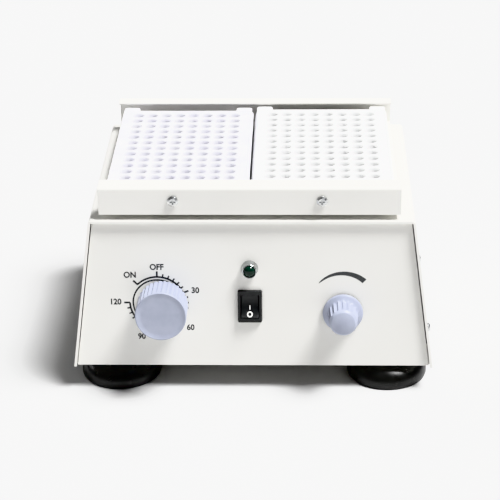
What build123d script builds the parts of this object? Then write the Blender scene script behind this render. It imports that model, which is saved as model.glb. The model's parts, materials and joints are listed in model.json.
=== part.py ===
from build123d import *
from math import asin, atan2, cos, degrees, radians, sin, tan
import os

# Micro shaker: a sheet-metal box on four suction feet, with an orbiting tray on top that carries
# two 96-well microplates. +Z is up, the control panel faces -Y, and all sizes are in millimetres.
# The origin is on the bench, under the middle of the whole object's box.

# Body shell
foot_height = 16.0
body_height = 95.4
top_width = 195.6
base_width = 221.2
top_depth = 151.8
base_depth = 169.0
sheet = 1.5
cover_bend = 2.4
edge_gap = 0.6
panel_recess = 2.5
pan_lip = 14.0
panel_flange = 10.0

# Front panel layout: across from the middle, and down the panel from the cover's top edge
column_x = -1.4
timer_x = -54.4
timer_down = 53.9
switch_down = 55.7
led_down = 31.1
speed_x = 55.2
speed_down = 59.8

# Timer, its shaft and its knob
timer_size = 44.0
timer_length = 30.0
timer_bush_radius = 5.0
timer_bush_length = 5.0
timer_screw_x = 10.0
timer_screw_length = 7.0
shaft_radius = 3.0
knob_standoff = 1.0
timer_knob_radius = 15.4
timer_knob_top = 21.0
timer_knob_wall = 2.0
timer_knob_flutes = 40
timer_flute_radius = 0.8
timer_flute_depth = 0.45
timer_knob_rim = 1.4
timer_hub_radius = 6.0

# Speed control, its shaft and its knob
pot_radius = 12.0
pot_length = 11.0
pot_bush_radius = 3.5
pot_bush_length = 6.0
pot_nut_across = 10.0
pot_nut_height = 2.2
speed_skirt_radius = 12.3
speed_skirt_height = 2.4
speed_grip_radius = 8.2
speed_knob_top = 17.5
speed_knob_flutes = 18
speed_flute_radius = 1.2
speed_flute_depth = 0.55
speed_hub_radius = 5.2
speed_cavity_height = 6.0

# Rocker switch
bezel_width = 15.0
bezel_height = 21.0
bezel_thickness = 2.0
switch_width = 13.0
switch_height = 19.2
switch_depth = 17.0
rocker_opening_width = 11.4
rocker_opening_height = 15.4
rocker_side_gap = 0.3
rocker_pivot_out = 0.5
rocker_face_middle = 0.3
rocker_face_end = 2.1
rocker_belly = 3.0
rocker_swing = 15.0
rocker_stub_radius = 1.2
rocker_stub_length = 0.5
rocker_well_depth = 5.0
terminal_width = 4.8
terminal_thickness = 0.8
terminal_length = 8.0
terminal_pitch = 5.5

# Indicator lamp
lamp_flange_radius = 5.15
lamp_flange_height = 5.4
lamp_flange_taper = 9.5
lamp_bore_depth = 9.4
lamp_body_radius = 4.0
lamp_body_length = 14.0
lens_radius = 3.4
lens_stand = 0.3
lens_rise = 1.8

# Rear panel: mains inlet and vents
inlet_x = 50.0
inlet_down = 58.0
inlet_flange_width = 48.0
inlet_flange_height = 22.4
inlet_flange_thickness = 2.6
inlet_body_width = 27.0
inlet_body_height = 19.8
inlet_cavity_width = 24.0
inlet_cavity_height = 16.4
inlet_cavity_depth = 17.0
inlet_floor = 2.6
inlet_corner = 4.0
inlet_screw_spacing = 40.0
inlet_screw_tail = 6.0
pin_pitch = 14.0
pin_width = 2.0
pin_height = 4.0
pin_length = 15.0
pin_tail = 7.0
earth_pin_rise = 4.0
vent_count = 9
vent_pitch = 6.0
vent_width = 2.4
vent_length = 26.0
vent_x = -45.0
vent_down = 50.0

# Feet
foot_inset = 27.0
foot_setback = 24.0
foot_lip_radius = 25.0
foot_lip_height = 3.0
foot_neck_radius = 10.5
foot_cup_radius = 21.5
foot_cup_depth = 3.2
foot_bolt_radius = 3.0
foot_bolt_grip = 9.0

# Drive: motor, eccentric, idler cranks and carriage
orbit_radius = 1.5
orbit_angle = 225.0
deck_width = 172.0
deck_length = 84.0
deck_top = 74.0
deck_thickness = 2.5
pillar_x = 76.0
pillar_y = 36.0
pillar_radius = 5.0
motor_radius = 28.0
motor_length = 42.0
motor_shell = 2.0
motor_screw_circle = 22.0
stator_inner_radius = 19.0
stator_length = 28.0
rotor_radius = 18.5
rotor_length = 26.0
rotor_shaft_radius = 3.0
hub_radius = 11.0
hub_bottom = 77.0
weight_radius = 26.0
weight_ring_radius = 15.0
weight_thickness = 6.0
weight_arc = 150.0
bearing_outer_radius = 11.0
bearing_inner_radius = 4.0
bearing_width = 7.0
carriage_width = 152.0
carriage_length = 112.0
carriage_thickness = 4.0
carriage_bottom = 92.0
carriage_corner = 8.0
carriage_boss_radius = 15.0
idler_x = 52.0
idler_y = 28.0
journal_radius = 4.0
journal_bush_radius = 6.5
journal_bush_flange = 9.0
bush_flange_thickness = 1.5
bush_above = 4.0
bush_below = 5.0
idler_disc_radius = 8.5
idler_disc_height = 4.7
idler_pin_radius = 3.0
pin_bush_radius = 5.0
pin_bush_flange = 7.0
post_x = 68.0
post_y = 46.0
post_radius = 5.0
post_hole_margin = 1.5

# Tray, front rail and microplates
tray_width = 180.6
tray_spare_depth = 18.04
tray_sheet = 1.0
tray_gap = 3.4
tray_corner_inside = 0.4
rear_flange = 10.0
front_flange = 12.1
front_upstand = 13.6
rail_foot = 0.2
rail_screw_x = 44.4
rail_screw_shift = -1.2
rail_screw_up = 9.5
plate_length = 127.76
plate_width = 85.48
plate_height = 14.35
plate_play = 1.2
plate_rest_gap = 0.1
plate_gap = 2.3
plate_left_gap = 2.02
plate_right_gap = 4.02
plate_foot_height = 2.5
plate_inset = 0.6
plate_wall = 1.3
plate_deck = 1.2
plate_corner = 3.2
plate_notch_width = 63.0
plate_notch_depth = 5.5
well_pitch = 9.0
well_columns = 8
well_rows = 12
well_radius = 3.43
well_tube_radius = 4.1
well_bottom = 3.5
well_floor = 1.2
dimple_radius = 0.8
dimple_depth = 0.7
dimple_in = 5.0

# Electrics on the pan
board_x = 51.0
board_y = 22.0
board_width = 34.0
board_length = 70.0
board_thickness = 1.6
standoff_height = 8.0
standoff_radius = 3.0
capacitor_radius = 8.0
capacitor_height = 22.0
core_x = -44.0
core_y = 32.0
core_width = 46.0
core_length = 22.0
core_height = 40.0
core_limb = 8.0
coil_length = 36.0
board_sink_x = 12.0
board_sink_width = 3.0
board_sink_length = 30.0
board_sink_height = 24.0
board_relay_x = -6.0
board_relay_y = 20.0
board_relay_width = 16.0
board_relay_length = 10.0
board_relay_height = 12.0

# Fasteners and fits
running_gap = 0.03
seat_gap = 0.05
rest_gap = 0.3
m3_radius = 1.5
m3_hole_radius = 1.7
m3_head_radius = 3.3
m3_head_height = 2.2
m3_nut_across = 5.5
m3_nut_height = 2.4
m4_radius = 2.0
m4_hole_radius = 2.2
m4_head_radius = 4.0
m4_head_height = 2.6
m4_sink_radius = 3.9

# Heights and slopes that follow from the sizes above
pan_z = foot_height
pan_top = pan_z + sheet
top_z = pan_z + body_height
tray_z = top_z + tray_gap
tray_height = 2 * tray_sheet + plate_rest_gap + plate_height + plate_play
tray_outside_bend = tray_corner_inside + tray_sheet
tray_depth = plate_length + tray_spare_depth
plate_z = tray_z + tray_sheet + plate_rest_gap
front_tilt = atan2((base_depth - top_depth) / 2, body_height)
side_tilt = atan2((base_width - top_width) / 2, body_height)
rocker_radius = rocker_opening_height / 2 - rocker_side_gap

# The object's box reaches from the timer knob's face to the cover's back edge, and the origin
# halves it, so the body's middle plane lies a little behind the origin.
panel_forward = top_depth / 2 + timer_down * sin(front_tilt) - panel_recess * cos(front_tilt)
front_reach = panel_forward + timer_knob_top * cos(front_tilt) + timer_knob_radius * sin(front_tilt)
back_reach = base_depth / 2
middle_y = (front_reach - back_reach) / 2
pin_x = orbit_radius * cos(radians(orbit_angle))
pin_y = middle_y + orbit_radius * sin(radians(orbit_angle))

low = (Align.CENTER, Align.CENTER, Align.MIN)
high = (Align.CENTER, Align.CENTER, Align.MAX)
os.makedirs("parts", exist_ok=True)


def save(piece, name):
    # Gives the finished piece its name and writes its file.
    piece.part.label = name
    export_step(piece.part, f"parts/{name}.step")


def half_width(z, inset=0.0):
    # Half the body's width at height z, the inset being square to the sloping side.
    return top_width / 2 + (top_z - z) * tan(side_tilt) - inset / cos(side_tilt)


def half_depth(z, inset=0.0):
    # Half the body's depth at height z, the inset being square to the sloping front.
    return top_depth / 2 + (top_z - z) * tan(front_tilt) - inset / cos(front_tilt)


def front_plane(x=0.0, down=0.0, out=0.0):
    # A plane parallel to the control panel, its local Y up the panel and its local Z outward.
    # "down" starts at the cover's top edge, and "out" at the panel's outer face.
    edge = Plane(
        origin=(0, middle_y - top_depth / 2, top_z),
        x_dir=(1, 0, 0),
        z_dir=(0, -cos(front_tilt), sin(front_tilt)),
    )
    place = edge.from_local_coords((x, -down, out - panel_recess))
    return Plane(origin=place, x_dir=edge.x_dir, z_dir=edge.z_dir)


def back_plane(x=0.0, down=0.0, out=0.0):
    # The same for the rear panel, seen from behind, so its local X points to the row's -X.
    edge = Plane(
        origin=(0, middle_y + top_depth / 2, top_z),
        x_dir=(-1, 0, 0),
        z_dir=(0, cos(front_tilt), sin(front_tilt)),
    )
    place = edge.from_local_coords((x, -down, out - panel_recess))
    return Plane(origin=place, x_dir=edge.x_dir, z_dir=edge.z_dir)


def side_plane(side, y, z, out=0.0):
    # A plane on the cover's sloping side, side being -1 for the left and 1 for the right.
    normal = Vector(side * cos(side_tilt), 0, sin(side_tilt))
    place = Vector(side * half_width(z), middle_y + y, z) + normal * out
    return Plane(origin=place, x_dir=(0, side, 0), z_dir=normal)


def panel_down(z):
    # How far down the panel's face the height z lies.
    return (top_z - panel_recess * sin(front_tilt) - z) / cos(front_tilt)


def pan_head_screw(plane, radius, length, head_radius, head_height):
    # A cross-recess pan-head screw: the head stands on the plane and the shank runs inward.
    with Locations(Location(plane)):
        Cylinder(head_radius, head_height * 0.6, align=low)
        with Locations((0, 0, head_height * 0.6)):
            Cone(head_radius, head_radius * 0.66, head_height * 0.4, align=low)
        Cylinder(radius, length, align=high)
        with Locations((0, 0, head_height * 0.5)):
            Box(head_radius, head_radius * 0.22, head_height, align=low, mode=Mode.SUBTRACT)
            Box(head_radius * 0.22, head_radius, head_height, align=low, mode=Mode.SUBTRACT)


def sunk_screw(plane, radius, length, head_radius):
    # A countersunk screw: its flat head is flush with the plane and the shank runs inward.
    depth = head_radius - radius
    with Locations(Location(plane)):
        with Locations((0, 0, -depth)):
            Cone(radius, head_radius, depth, align=low)
        Cylinder(radius, length, align=high)
        with Locations((0, 0, -depth * 0.5)):
            Box(head_radius, head_radius * 0.2, depth, align=low, mode=Mode.SUBTRACT)
            Box(head_radius * 0.2, head_radius, depth, align=low, mode=Mode.SUBTRACT)


def bore(plane, radius, depth):
    # A round hole cut inward from the plane.
    with Locations(Location(plane)):
        Cylinder(radius, depth, align=high, mode=Mode.SUBTRACT)


def sink(plane, radius, head_radius):
    # The countersink for a flush head, a seat gap wider than the head.
    wide = head_radius + seat_gap
    depth = wide - radius
    with Locations(Location(plane)):
        with Locations((0, 0, -depth)):
            Cone(radius, wide, depth, align=low, mode=Mode.SUBTRACT)


def corners(x, y, middle=(0.0, 0.0)):
    # The four corners of a rectangle of half sizes x and y about a middle.
    return [(middle[0] + i * x, middle[1] + j * y) for j in (-1, 1) for i in (-1, 1)]


body_middle = (0.0, middle_y)
carriage_middle = (pin_x, pin_y)
pillar_points = corners(pillar_x, pillar_y, body_middle)
idler_points = corners(idler_x, idler_y, body_middle)
idler_pin_points = corners(idler_x, idler_y, carriage_middle)
post_points = corners(post_x, post_y, carriage_middle)
post_hole_points = corners(post_x, post_y, body_middle)
foot_points = corners(base_width / 2 - foot_inset, base_depth / 2 - foot_setback, body_middle)
standoff_inset = 4.0
standoff_points = corners(
    board_width / 2 - standoff_inset, board_length / 2 - standoff_inset, (board_x, middle_y + board_y)
)
stud_nut_gap = 1.0
stud_x = -timer_x + timer_size / 2 + stud_nut_gap + m3_nut_across / 2 / cos(radians(30))
stud_up = 8.0
stud_length = 9.0
side_screw_y = 48.0
side_screw_up = 8.0
core_screw_y = 15.0

# Cover: one sheet folded over the top and down both sloping sides, open at front and back
with BuildPart() as cover:
    with BuildSketch(Plane.XZ.offset(-middle_y)):
        with BuildLine():
            Polyline(
                (-half_width(pan_z), pan_z),
                (-half_width(top_z), top_z),
                (half_width(top_z), top_z),
                (half_width(pan_z), pan_z),
                close=True,
            )
        make_face()
    extrude(amount=base_depth, both=True)
    fillet(cover.edges().filter_by(Axis.Y).group_by(Axis.Z)[-1], radius=cover_bend)
    with BuildSketch(Plane.XZ.offset(-middle_y)):
        with BuildLine():
            Polyline(
                (-half_width(pan_z, sheet), pan_z),
                (-half_width(top_z - sheet, sheet), top_z - sheet),
                (half_width(top_z - sheet, sheet), top_z - sheet),
                (half_width(pan_z, sheet), pan_z),
                close=True,
            )
        make_face()
    extrude(amount=base_depth, both=True, mode=Mode.SUBTRACT)
    split(bisect_by=front_plane(out=panel_recess), keep=Keep.BOTTOM)
    split(bisect_by=back_plane(out=panel_recess), keep=Keep.BOTTOM)
    with BuildSketch(Plane.XY.offset(top_z)):
        with Locations(*post_hole_points):
            Circle(post_radius + orbit_radius + post_hole_margin)
    extrude(amount=-2 * sheet, mode=Mode.SUBTRACT)
    for side in (-1, 1):
        for y in (-side_screw_y, side_screw_y):
            bore(side_plane(side, y, pan_z + side_screw_up, sheet), m3_hole_radius, 3 * sheet)
save(cover, "cover")

# Base pan: the floor of the body, with a lip turned up on all four sides
pan_inset = sheet + seat_gap
pan_back_inset = panel_recess + sheet
with BuildPart() as base_pan:
    for z in (pan_z, pan_z + pan_lip):
        with BuildSketch(Plane.XY.offset(z)):
            with Locations(body_middle):
                Rectangle(2 * half_width(z, pan_inset), 2 * half_depth(z, pan_back_inset))
    loft()
    for z in (pan_top, pan_z + pan_lip):
        with BuildSketch(Plane.XY.offset(z)):
            with Locations(body_middle):
                Rectangle(
                    2 * half_width(z, pan_inset + sheet), 2 * half_depth(z, pan_back_inset + sheet)
                )
    loft(mode=Mode.SUBTRACT)
    for x, y in foot_points:
        bore(Plane((x, y, pan_top + sheet)), foot_bolt_radius + seat_gap, 3 * sheet)
    for x, y in pillar_points:
        bore(Plane((x, y, pan_top + sheet)), m4_hole_radius, 3 * sheet)
    for x, y in standoff_points:
        bore(Plane((x, y, pan_top + sheet)), m3_radius + seat_gap, 3 * sheet)
    for y in (-core_screw_y, core_screw_y):
        bore(Plane((core_x, middle_y + core_y + y, pan_top + sheet)), m3_radius + seat_gap, 3 * sheet)
    for side in (-1, 1):
        for y in (-side_screw_y, side_screw_y):
            bore(side_plane(side, y, pan_z + side_screw_up, 0), m3_radius + seat_gap, 4 * sheet)
    for place in (front_plane, back_plane):
        for x in (-stud_x, stud_x):
            bore(place(x, panel_down(pan_z + stud_up), 0), m3_radius + seat_gap, 4 * sheet)
save(base_pan, "base_pan")


flange_top = top_z - sheet
flange_side = half_width(flange_top, sheet + edge_gap) - cover_bend
panel_low = half_width(pan_z, sheet + edge_gap)
panel_high = half_width(flange_top, sheet + edge_gap)
panel_outline = [
    (-panel_low, -panel_down(pan_z)),
    (panel_low, -panel_down(pan_z)),
    (panel_high, -panel_down(flange_top)),
    (-panel_high, -panel_down(flange_top)),
]


def panel_folds(place):
    # The flange turned in under the cover's top, and two studs on the back for the pan's lip.
    inward = Vector(0, -place().z_dir.Y, 0).normalized()
    face_y = place(0, panel_down(flange_top), 0).origin.Y
    with Locations((0, face_y + inward.Y * panel_flange / 2, flange_top)):
        Box(2 * flange_side, panel_flange, sheet, align=high)
    split(bisect_by=place(), keep=Keep.BOTTOM)
    for x in (-stud_x, stud_x):
        with Locations(Location(place(x, panel_down(pan_z + stud_up), -sheet))):
            Cylinder(m3_radius, stud_length, align=high)


# Front panel: carries the timer, lamp, switch and speed control
with BuildPart() as front_panel:
    with BuildSketch(front_plane()):
        Polygon(*panel_outline, align=None)
    extrude(amount=-sheet)
    panel_folds(front_plane)
    bore(front_plane(timer_x, timer_down, 1), timer_bush_radius + seat_gap, 4 * sheet)
    for x in (-timer_screw_x, timer_screw_x):
        bore(front_plane(timer_x + x, timer_down, 1), m3_radius + seat_gap, 4 * sheet)
        sink(front_plane(timer_x + x, timer_down), m3_radius, m3_head_radius - 0.4)
    bore(front_plane(speed_x, speed_down, 1), pot_bush_radius + seat_gap, 4 * sheet)
    bore(front_plane(column_x, led_down, 1), lamp_body_radius + seat_gap, 4 * sheet)
    with Locations(Location(front_plane(column_x, switch_down, 1))):
        Box(
            switch_width + 2 * seat_gap,
            switch_height + 2 * seat_gap,
            4 * sheet,
            align=high,
            mode=Mode.SUBTRACT,
        )
save(front_panel, "front_panel")

# Rear panel: the mains inlet's cut-out and a row of upright vents
with BuildPart() as rear_panel:
    with BuildSketch(back_plane()):
        Polygon(*panel_outline, align=None)
    extrude(amount=-sheet)
    panel_folds(back_plane)
    with Locations(Location(back_plane(inlet_x, inlet_down, 1))):
        Box(
            inlet_body_width + 2 * seat_gap,
            inlet_body_height + 2 * seat_gap,
            4 * sheet,
            align=high,
            mode=Mode.SUBTRACT,
        )
    for x in (-inlet_screw_spacing / 2, inlet_screw_spacing / 2):
        bore(back_plane(inlet_x + x, inlet_down, 1), m3_radius + seat_gap, 4 * sheet)
    with Locations(Location(back_plane(vent_x, vent_down, 0))):
        with GridLocations(vent_pitch, 0, vent_count, 1):
            Box(vent_width, vent_length, 4 * sheet, mode=Mode.SUBTRACT)
save(rear_panel, "rear_panel")

# Nuts on the panels' studs, against the inside of the pan's lip, and on the inlet's screws
nut_planes = [
    place(x, panel_down(pan_z + stud_up), -2 * sheet)
    for place in (front_plane, back_plane)
    for x in (-stud_x, stud_x)
]
for x in (-inlet_screw_spacing / 2, inlet_screw_spacing / 2):
    nut_planes.append(back_plane(inlet_x + x, inlet_down, -sheet))
with BuildPart() as panel_nuts:
    for seat in nut_planes:
        with BuildSketch(seat):
            RegularPolygon(m3_nut_across / 2, 6, major_radius=False)
            Circle(m3_radius + seat_gap, mode=Mode.SUBTRACT)
        extrude(amount=-m3_nut_height)
save(panel_nuts, "panel_nuts")

# Screws through the cover's sides into the pan's lips
with BuildPart() as cover_screws:
    for side in (-1, 1):
        for y in (-side_screw_y, side_screw_y):
            seat = side_plane(side, y, pan_z + side_screw_up)
            pan_head_screw(seat, m3_radius, 3 * sheet + 1, m3_head_radius - 0.5, m3_head_height - 0.3)
save(cover_screws, "cover_screws")

# Suction feet: a rubber cup on a neck, hollow underneath
foot_names = ("foot_front_left", "foot_front_right", "foot_back_left", "foot_back_right")
for name, (x, y) in zip(foot_names, foot_points):
    with BuildPart() as foot:
        with BuildSketch(Plane((x, y, 0), x_dir=(1, 0, 0), z_dir=(0, -1, 0))):
            with BuildLine():
                Line((0, foot_cup_depth), (0, foot_height))
                Line((0, foot_height), (foot_neck_radius, foot_height))
                Spline(
                    (foot_neck_radius, foot_height),
                    (foot_lip_radius - 6, foot_height * 0.62),
                    (foot_lip_radius, foot_lip_height),
                    tangents=[(0.3, -1), (0, -1)],
                )
                Line((foot_lip_radius, foot_lip_height), (foot_lip_radius - 1.2, 0))
                Line((foot_lip_radius - 1.2, 0), (foot_cup_radius, 0))
                Spline(
                    (foot_cup_radius, 0),
                    (foot_cup_radius * 0.6, foot_cup_depth * 0.75),
                    (0, foot_cup_depth),
                    tangents=[(-1, 0.5), (-1, 0)],
                )
            make_face()
        revolve(axis=Axis((x, y, 0), (0, 0, 1)))
        bore(Plane((x, y, foot_height)), foot_bolt_radius + seat_gap, foot_bolt_grip + rest_gap)
    save(foot, name)

# Bolts from inside the pan down into the feet
with BuildPart() as foot_bolts:
    for x, y in foot_points:
        pan_head_screw(
            Plane((x, y, pan_top)), foot_bolt_radius, sheet + foot_bolt_grip, 5.4, m4_head_height
        )
save(foot_bolts, "foot_bolts")

# Deck: a steel plate on four pillars that carries the motor and the idler cranks
deck_bottom = deck_top - deck_thickness
with BuildPart() as motor_deck:
    with BuildSketch(Plane.XY.offset(deck_bottom)):
        with Locations(body_middle):
            RectangleRounded(deck_width, deck_length, carriage_corner)
        with Locations(body_middle):
            Circle(rotor_shaft_radius + 5, mode=Mode.SUBTRACT)
        with Locations(*pillar_points):
            Circle(m4_hole_radius, mode=Mode.SUBTRACT)
        with Locations(*idler_points):
            Circle(journal_bush_radius + seat_gap, mode=Mode.SUBTRACT)
        with Locations(body_middle):
            with PolarLocations(motor_screw_circle, 4, start_angle=45):
                Circle(m3_hole_radius, mode=Mode.SUBTRACT)
    extrude(amount=deck_thickness)
save(motor_deck, "motor_deck")

# Pillars between pan and deck, tapped at both ends
pillar_length = deck_bottom - pan_top
screw_bite = 8.0
with BuildPart() as deck_pillars:
    for x, y in pillar_points:
        with Locations((x, y, pan_top)):
            Cylinder(pillar_radius, pillar_length, align=low)
        bore(Plane((x, y, deck_bottom)), m4_radius + seat_gap, screw_bite + 1)
        bore(Plane((x, y, pan_top + screw_bite + 1)), m4_radius + seat_gap, screw_bite + 1)
save(deck_pillars, "deck_pillars")

# Screws at both ends of the pillars
with BuildPart() as pillar_screws:
    for x, y in pillar_points:
        top_seat = Plane((x, y, deck_top))
        pan_head_screw(top_seat, m4_radius, deck_thickness + screw_bite, m4_head_radius, m4_head_height)
        low_seat = Plane(origin=(x, y, pan_z), x_dir=(1, 0, 0), z_dir=(0, 0, -1))
        pan_head_screw(low_seat, m4_radius, sheet + screw_bite, m4_head_radius, m4_head_height)
save(pillar_screws, "pillar_screws")

# Motor: a drawn can hung under the deck, its stator ring inside
motor_bottom = deck_bottom - motor_length
shell_middle = deck_bottom - motor_length / 2
with BuildPart() as motor_can:
    with Locations((0, middle_y, motor_bottom)):
        Cylinder(motor_radius, motor_length, align=low)
    with Locations((0, middle_y, motor_bottom + motor_shell)):
        Cylinder(
            motor_radius - motor_shell, motor_length - 2 * motor_shell, align=low, mode=Mode.SUBTRACT
        )
    bore(Plane((0, middle_y, deck_bottom)), rotor_shaft_radius + running_gap, motor_length)
    for angle in (45, 135, 225, 315):
        x = motor_screw_circle * cos(radians(angle))
        y = middle_y + motor_screw_circle * sin(radians(angle))
        bore(Plane((x, y, deck_bottom)), m3_radius + seat_gap, motor_shell)
save(motor_can, "motor_can")

with BuildPart() as motor_stator:
    with Locations((0, middle_y, shell_middle)):
        Cylinder(motor_radius - motor_shell - seat_gap, stator_length)
        Cylinder(stator_inner_radius, stator_length, mode=Mode.SUBTRACT)
        with PolarLocations(stator_inner_radius + 1.5, 12):
            Box(3.5, 2.0, stator_length, mode=Mode.SUBTRACT)
save(motor_stator, "motor_stator")

with BuildPart() as motor_screws:
    for angle in (45, 135, 225, 315):
        x = motor_screw_circle * cos(radians(angle))
        y = middle_y + motor_screw_circle * sin(radians(angle))
        seat = Plane((x, y, deck_top))
        pan_head_screw(
            seat, m3_radius, deck_thickness + motor_shell, m3_head_radius - 0.4, m3_head_height - 0.4
        )
save(motor_screws, "motor_screws")

# Rotor and shaft: one turned piece that runs in the can's two end bores
bearing_bottom = carriage_bottom - (bearing_width - carriage_thickness) / 2
hub_top = bearing_bottom - rest_gap
shaft_top = hub_top - 2.0
with BuildPart() as motor_rotor:
    with Locations((0, middle_y, shell_middle)):
        Cylinder(rotor_radius, rotor_length)
    with Locations((0, middle_y, motor_bottom - 2)):
        Cylinder(rotor_shaft_radius, shaft_top - motor_bottom + 2, align=low)
save(motor_rotor, "motor_rotor")

# Eccentric: a hub on the shaft with an offset pin that drives the carriage's bearing
with BuildPart() as eccentric:
    with Locations((0, middle_y, hub_bottom)):
        Cylinder(hub_radius, hub_top - hub_bottom, align=low)
    bore(Plane((0, middle_y, shaft_top + seat_gap)), rotor_shaft_radius + seat_gap, motor_length)
    with Locations((pin_x, pin_y, hub_top)):
        Cylinder(bearing_inner_radius - running_gap, bearing_width + 2 + rest_gap, align=low)
save(eccentric, "eccentric")

# Counterweight: a ring on the hub with a heavy sector opposite the pin
with BuildPart() as counterweight:
    with BuildSketch(Plane.XY.offset(hub_bottom + 1)):
        with Locations(body_middle):
            Circle(weight_ring_radius)
        with BuildLine():
            reach = radians(weight_arc / 2)
            away = radians(orbit_angle + 180)
            first = (
                weight_radius * cos(away - reach),
                middle_y + weight_radius * sin(away - reach),
            )
            last = (
                weight_radius * cos(away + reach),
                middle_y + weight_radius * sin(away + reach),
            )
            far = (weight_radius * cos(away), middle_y + weight_radius * sin(away))
            ThreePointArc(first, far, last)
            Polyline(last, body_middle, first)
        make_face()
        with Locations(body_middle):
            Circle(hub_radius + seat_gap, mode=Mode.SUBTRACT)
    extrude(amount=weight_thickness)
save(counterweight, "counterweight")

# Drive bearing: a ball bearing in the carriage's boss, with its race grooves
with BuildPart() as drive_bearing:
    with Locations((pin_x, pin_y, bearing_bottom)):
        Cylinder(bearing_outer_radius, bearing_width, align=low)
        Cylinder(bearing_inner_radius, bearing_width, align=low, mode=Mode.SUBTRACT)
    for z, depth in ((bearing_bottom, 0.8), (bearing_bottom + bearing_width, -0.8)):
        with BuildSketch(Plane((pin_x, pin_y, z))):
            Circle(bearing_outer_radius - 2.5)
            Circle(bearing_inner_radius + 2.0, mode=Mode.SUBTRACT)
        extrude(amount=depth, mode=Mode.SUBTRACT)
save(drive_bearing, "drive_bearing")

# Carriage: the plate under the cover that orbits and carries the tray on posts
carriage_top = carriage_bottom + carriage_thickness
with BuildPart() as carriage:
    with BuildSketch(Plane.XY.offset(carriage_bottom)):
        with Locations(carriage_middle):
            RectangleRounded(carriage_width, carriage_length, carriage_corner)
    extrude(amount=carriage_thickness)
    with Locations((pin_x, pin_y, bearing_bottom)):
        Cylinder(carriage_boss_radius, bearing_width, align=low)
    bore(Plane((pin_x, pin_y, carriage_top + 5)), bearing_outer_radius + seat_gap, 20)
    for x, y in idler_pin_points:
        bore(Plane((x, y, carriage_top)), pin_bush_radius + seat_gap, carriage_thickness)
    for x, y in post_points:
        bore(Plane((x, y, carriage_top)), m4_hole_radius, carriage_thickness)
save(carriage, "carriage")

# Bushes: flanged sleeves for the idlers' journals in the deck, and for their pins in the carriage
bush_top = deck_top + bush_above
bush_bottom = deck_bottom - bush_below
with BuildPart() as deck_bushes:
    for x, y in idler_points:
        with Locations((x, y, bush_bottom)):
            Cylinder(journal_bush_radius, bush_top - bush_bottom, align=low)
        with Locations((x, y, deck_top)):
            Cylinder(journal_bush_flange, bush_flange_thickness, align=low)
        bore(Plane((x, y, bush_top)), journal_radius, bush_top - bush_bottom)
save(deck_bushes, "deck_bushes")

pin_bush_bottom = carriage_bottom - bush_flange_thickness
with BuildPart() as carriage_bushes:
    for x, y in idler_pin_points:
        with Locations((x, y, pin_bush_bottom)):
            Cylinder(pin_bush_flange, bush_flange_thickness, align=low)
            Cylinder(pin_bush_radius, bush_flange_thickness + carriage_thickness + 1, align=low)
        bore(Plane((x, y, carriage_top + 2)), idler_pin_radius, 20)
save(carriage_bushes, "carriage_bushes")

# Idler cranks: each turns in the deck and keeps the carriage square while it orbits
disc_bottom = bush_top + rest_gap
shoulder_top = pin_bush_bottom - rest_gap
for number, (x, y) in enumerate(idler_points, start=1):
    with BuildPart() as idler:
        with Locations((x, y, bush_bottom - 2)):
            Cylinder(journal_radius - running_gap, disc_bottom - bush_bottom + 2, align=low)
        with Locations((x, y, disc_bottom)):
            Cylinder(idler_disc_radius, idler_disc_height, align=low)
        with Locations((x + pin_x, y + pin_y - middle_y, disc_bottom + idler_disc_height)):
            Cylinder(
                idler_pin_radius + 2.0, shoulder_top - disc_bottom - idler_disc_height, align=low
            )
            Cylinder(
                idler_pin_radius - running_gap,
                carriage_top + 2 - disc_bottom - idler_disc_height,
                align=low,
            )
    save(idler, f"idler_crank_{number}")

# Posts that pass through the cover and lift the tray clear of it. A web is left between the
# tapped holes of the screws from below and from above.
post_web = 2.8
post_bite = (tray_z - carriage_top - post_web) / 2
with BuildPart() as tray_posts:
    for x, y in post_points:
        with Locations((x, y, carriage_top)):
            Cylinder(post_radius, tray_z - carriage_top, align=low)
        bore(Plane((x, y, carriage_top + post_bite)), m4_radius + seat_gap, post_bite)
        bore(Plane((x, y, tray_z)), m4_radius + seat_gap, post_bite)
        sink(Plane((x, y, tray_z + tray_sheet)), m4_radius + seat_gap, m4_sink_radius)
save(tray_posts, "tray_posts")

with BuildPart() as post_screws:
    for x, y in post_points:
        seat = Plane(origin=(x, y, carriage_bottom), x_dir=(1, 0, 0), z_dir=(0, 0, -1))
        pan_head_screw(
            seat, m4_radius, carriage_thickness + post_bite - 1, m4_head_radius, m4_head_height
        )
save(post_screws, "post_screws")

with BuildPart() as tray_screws:
    for x, y in post_points:
        seat = Plane((x, y, tray_z + tray_sheet))
        sunk_screw(seat, m4_radius, tray_sheet + post_bite - 1, m4_sink_radius)
save(tray_screws, "tray_screws")

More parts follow.
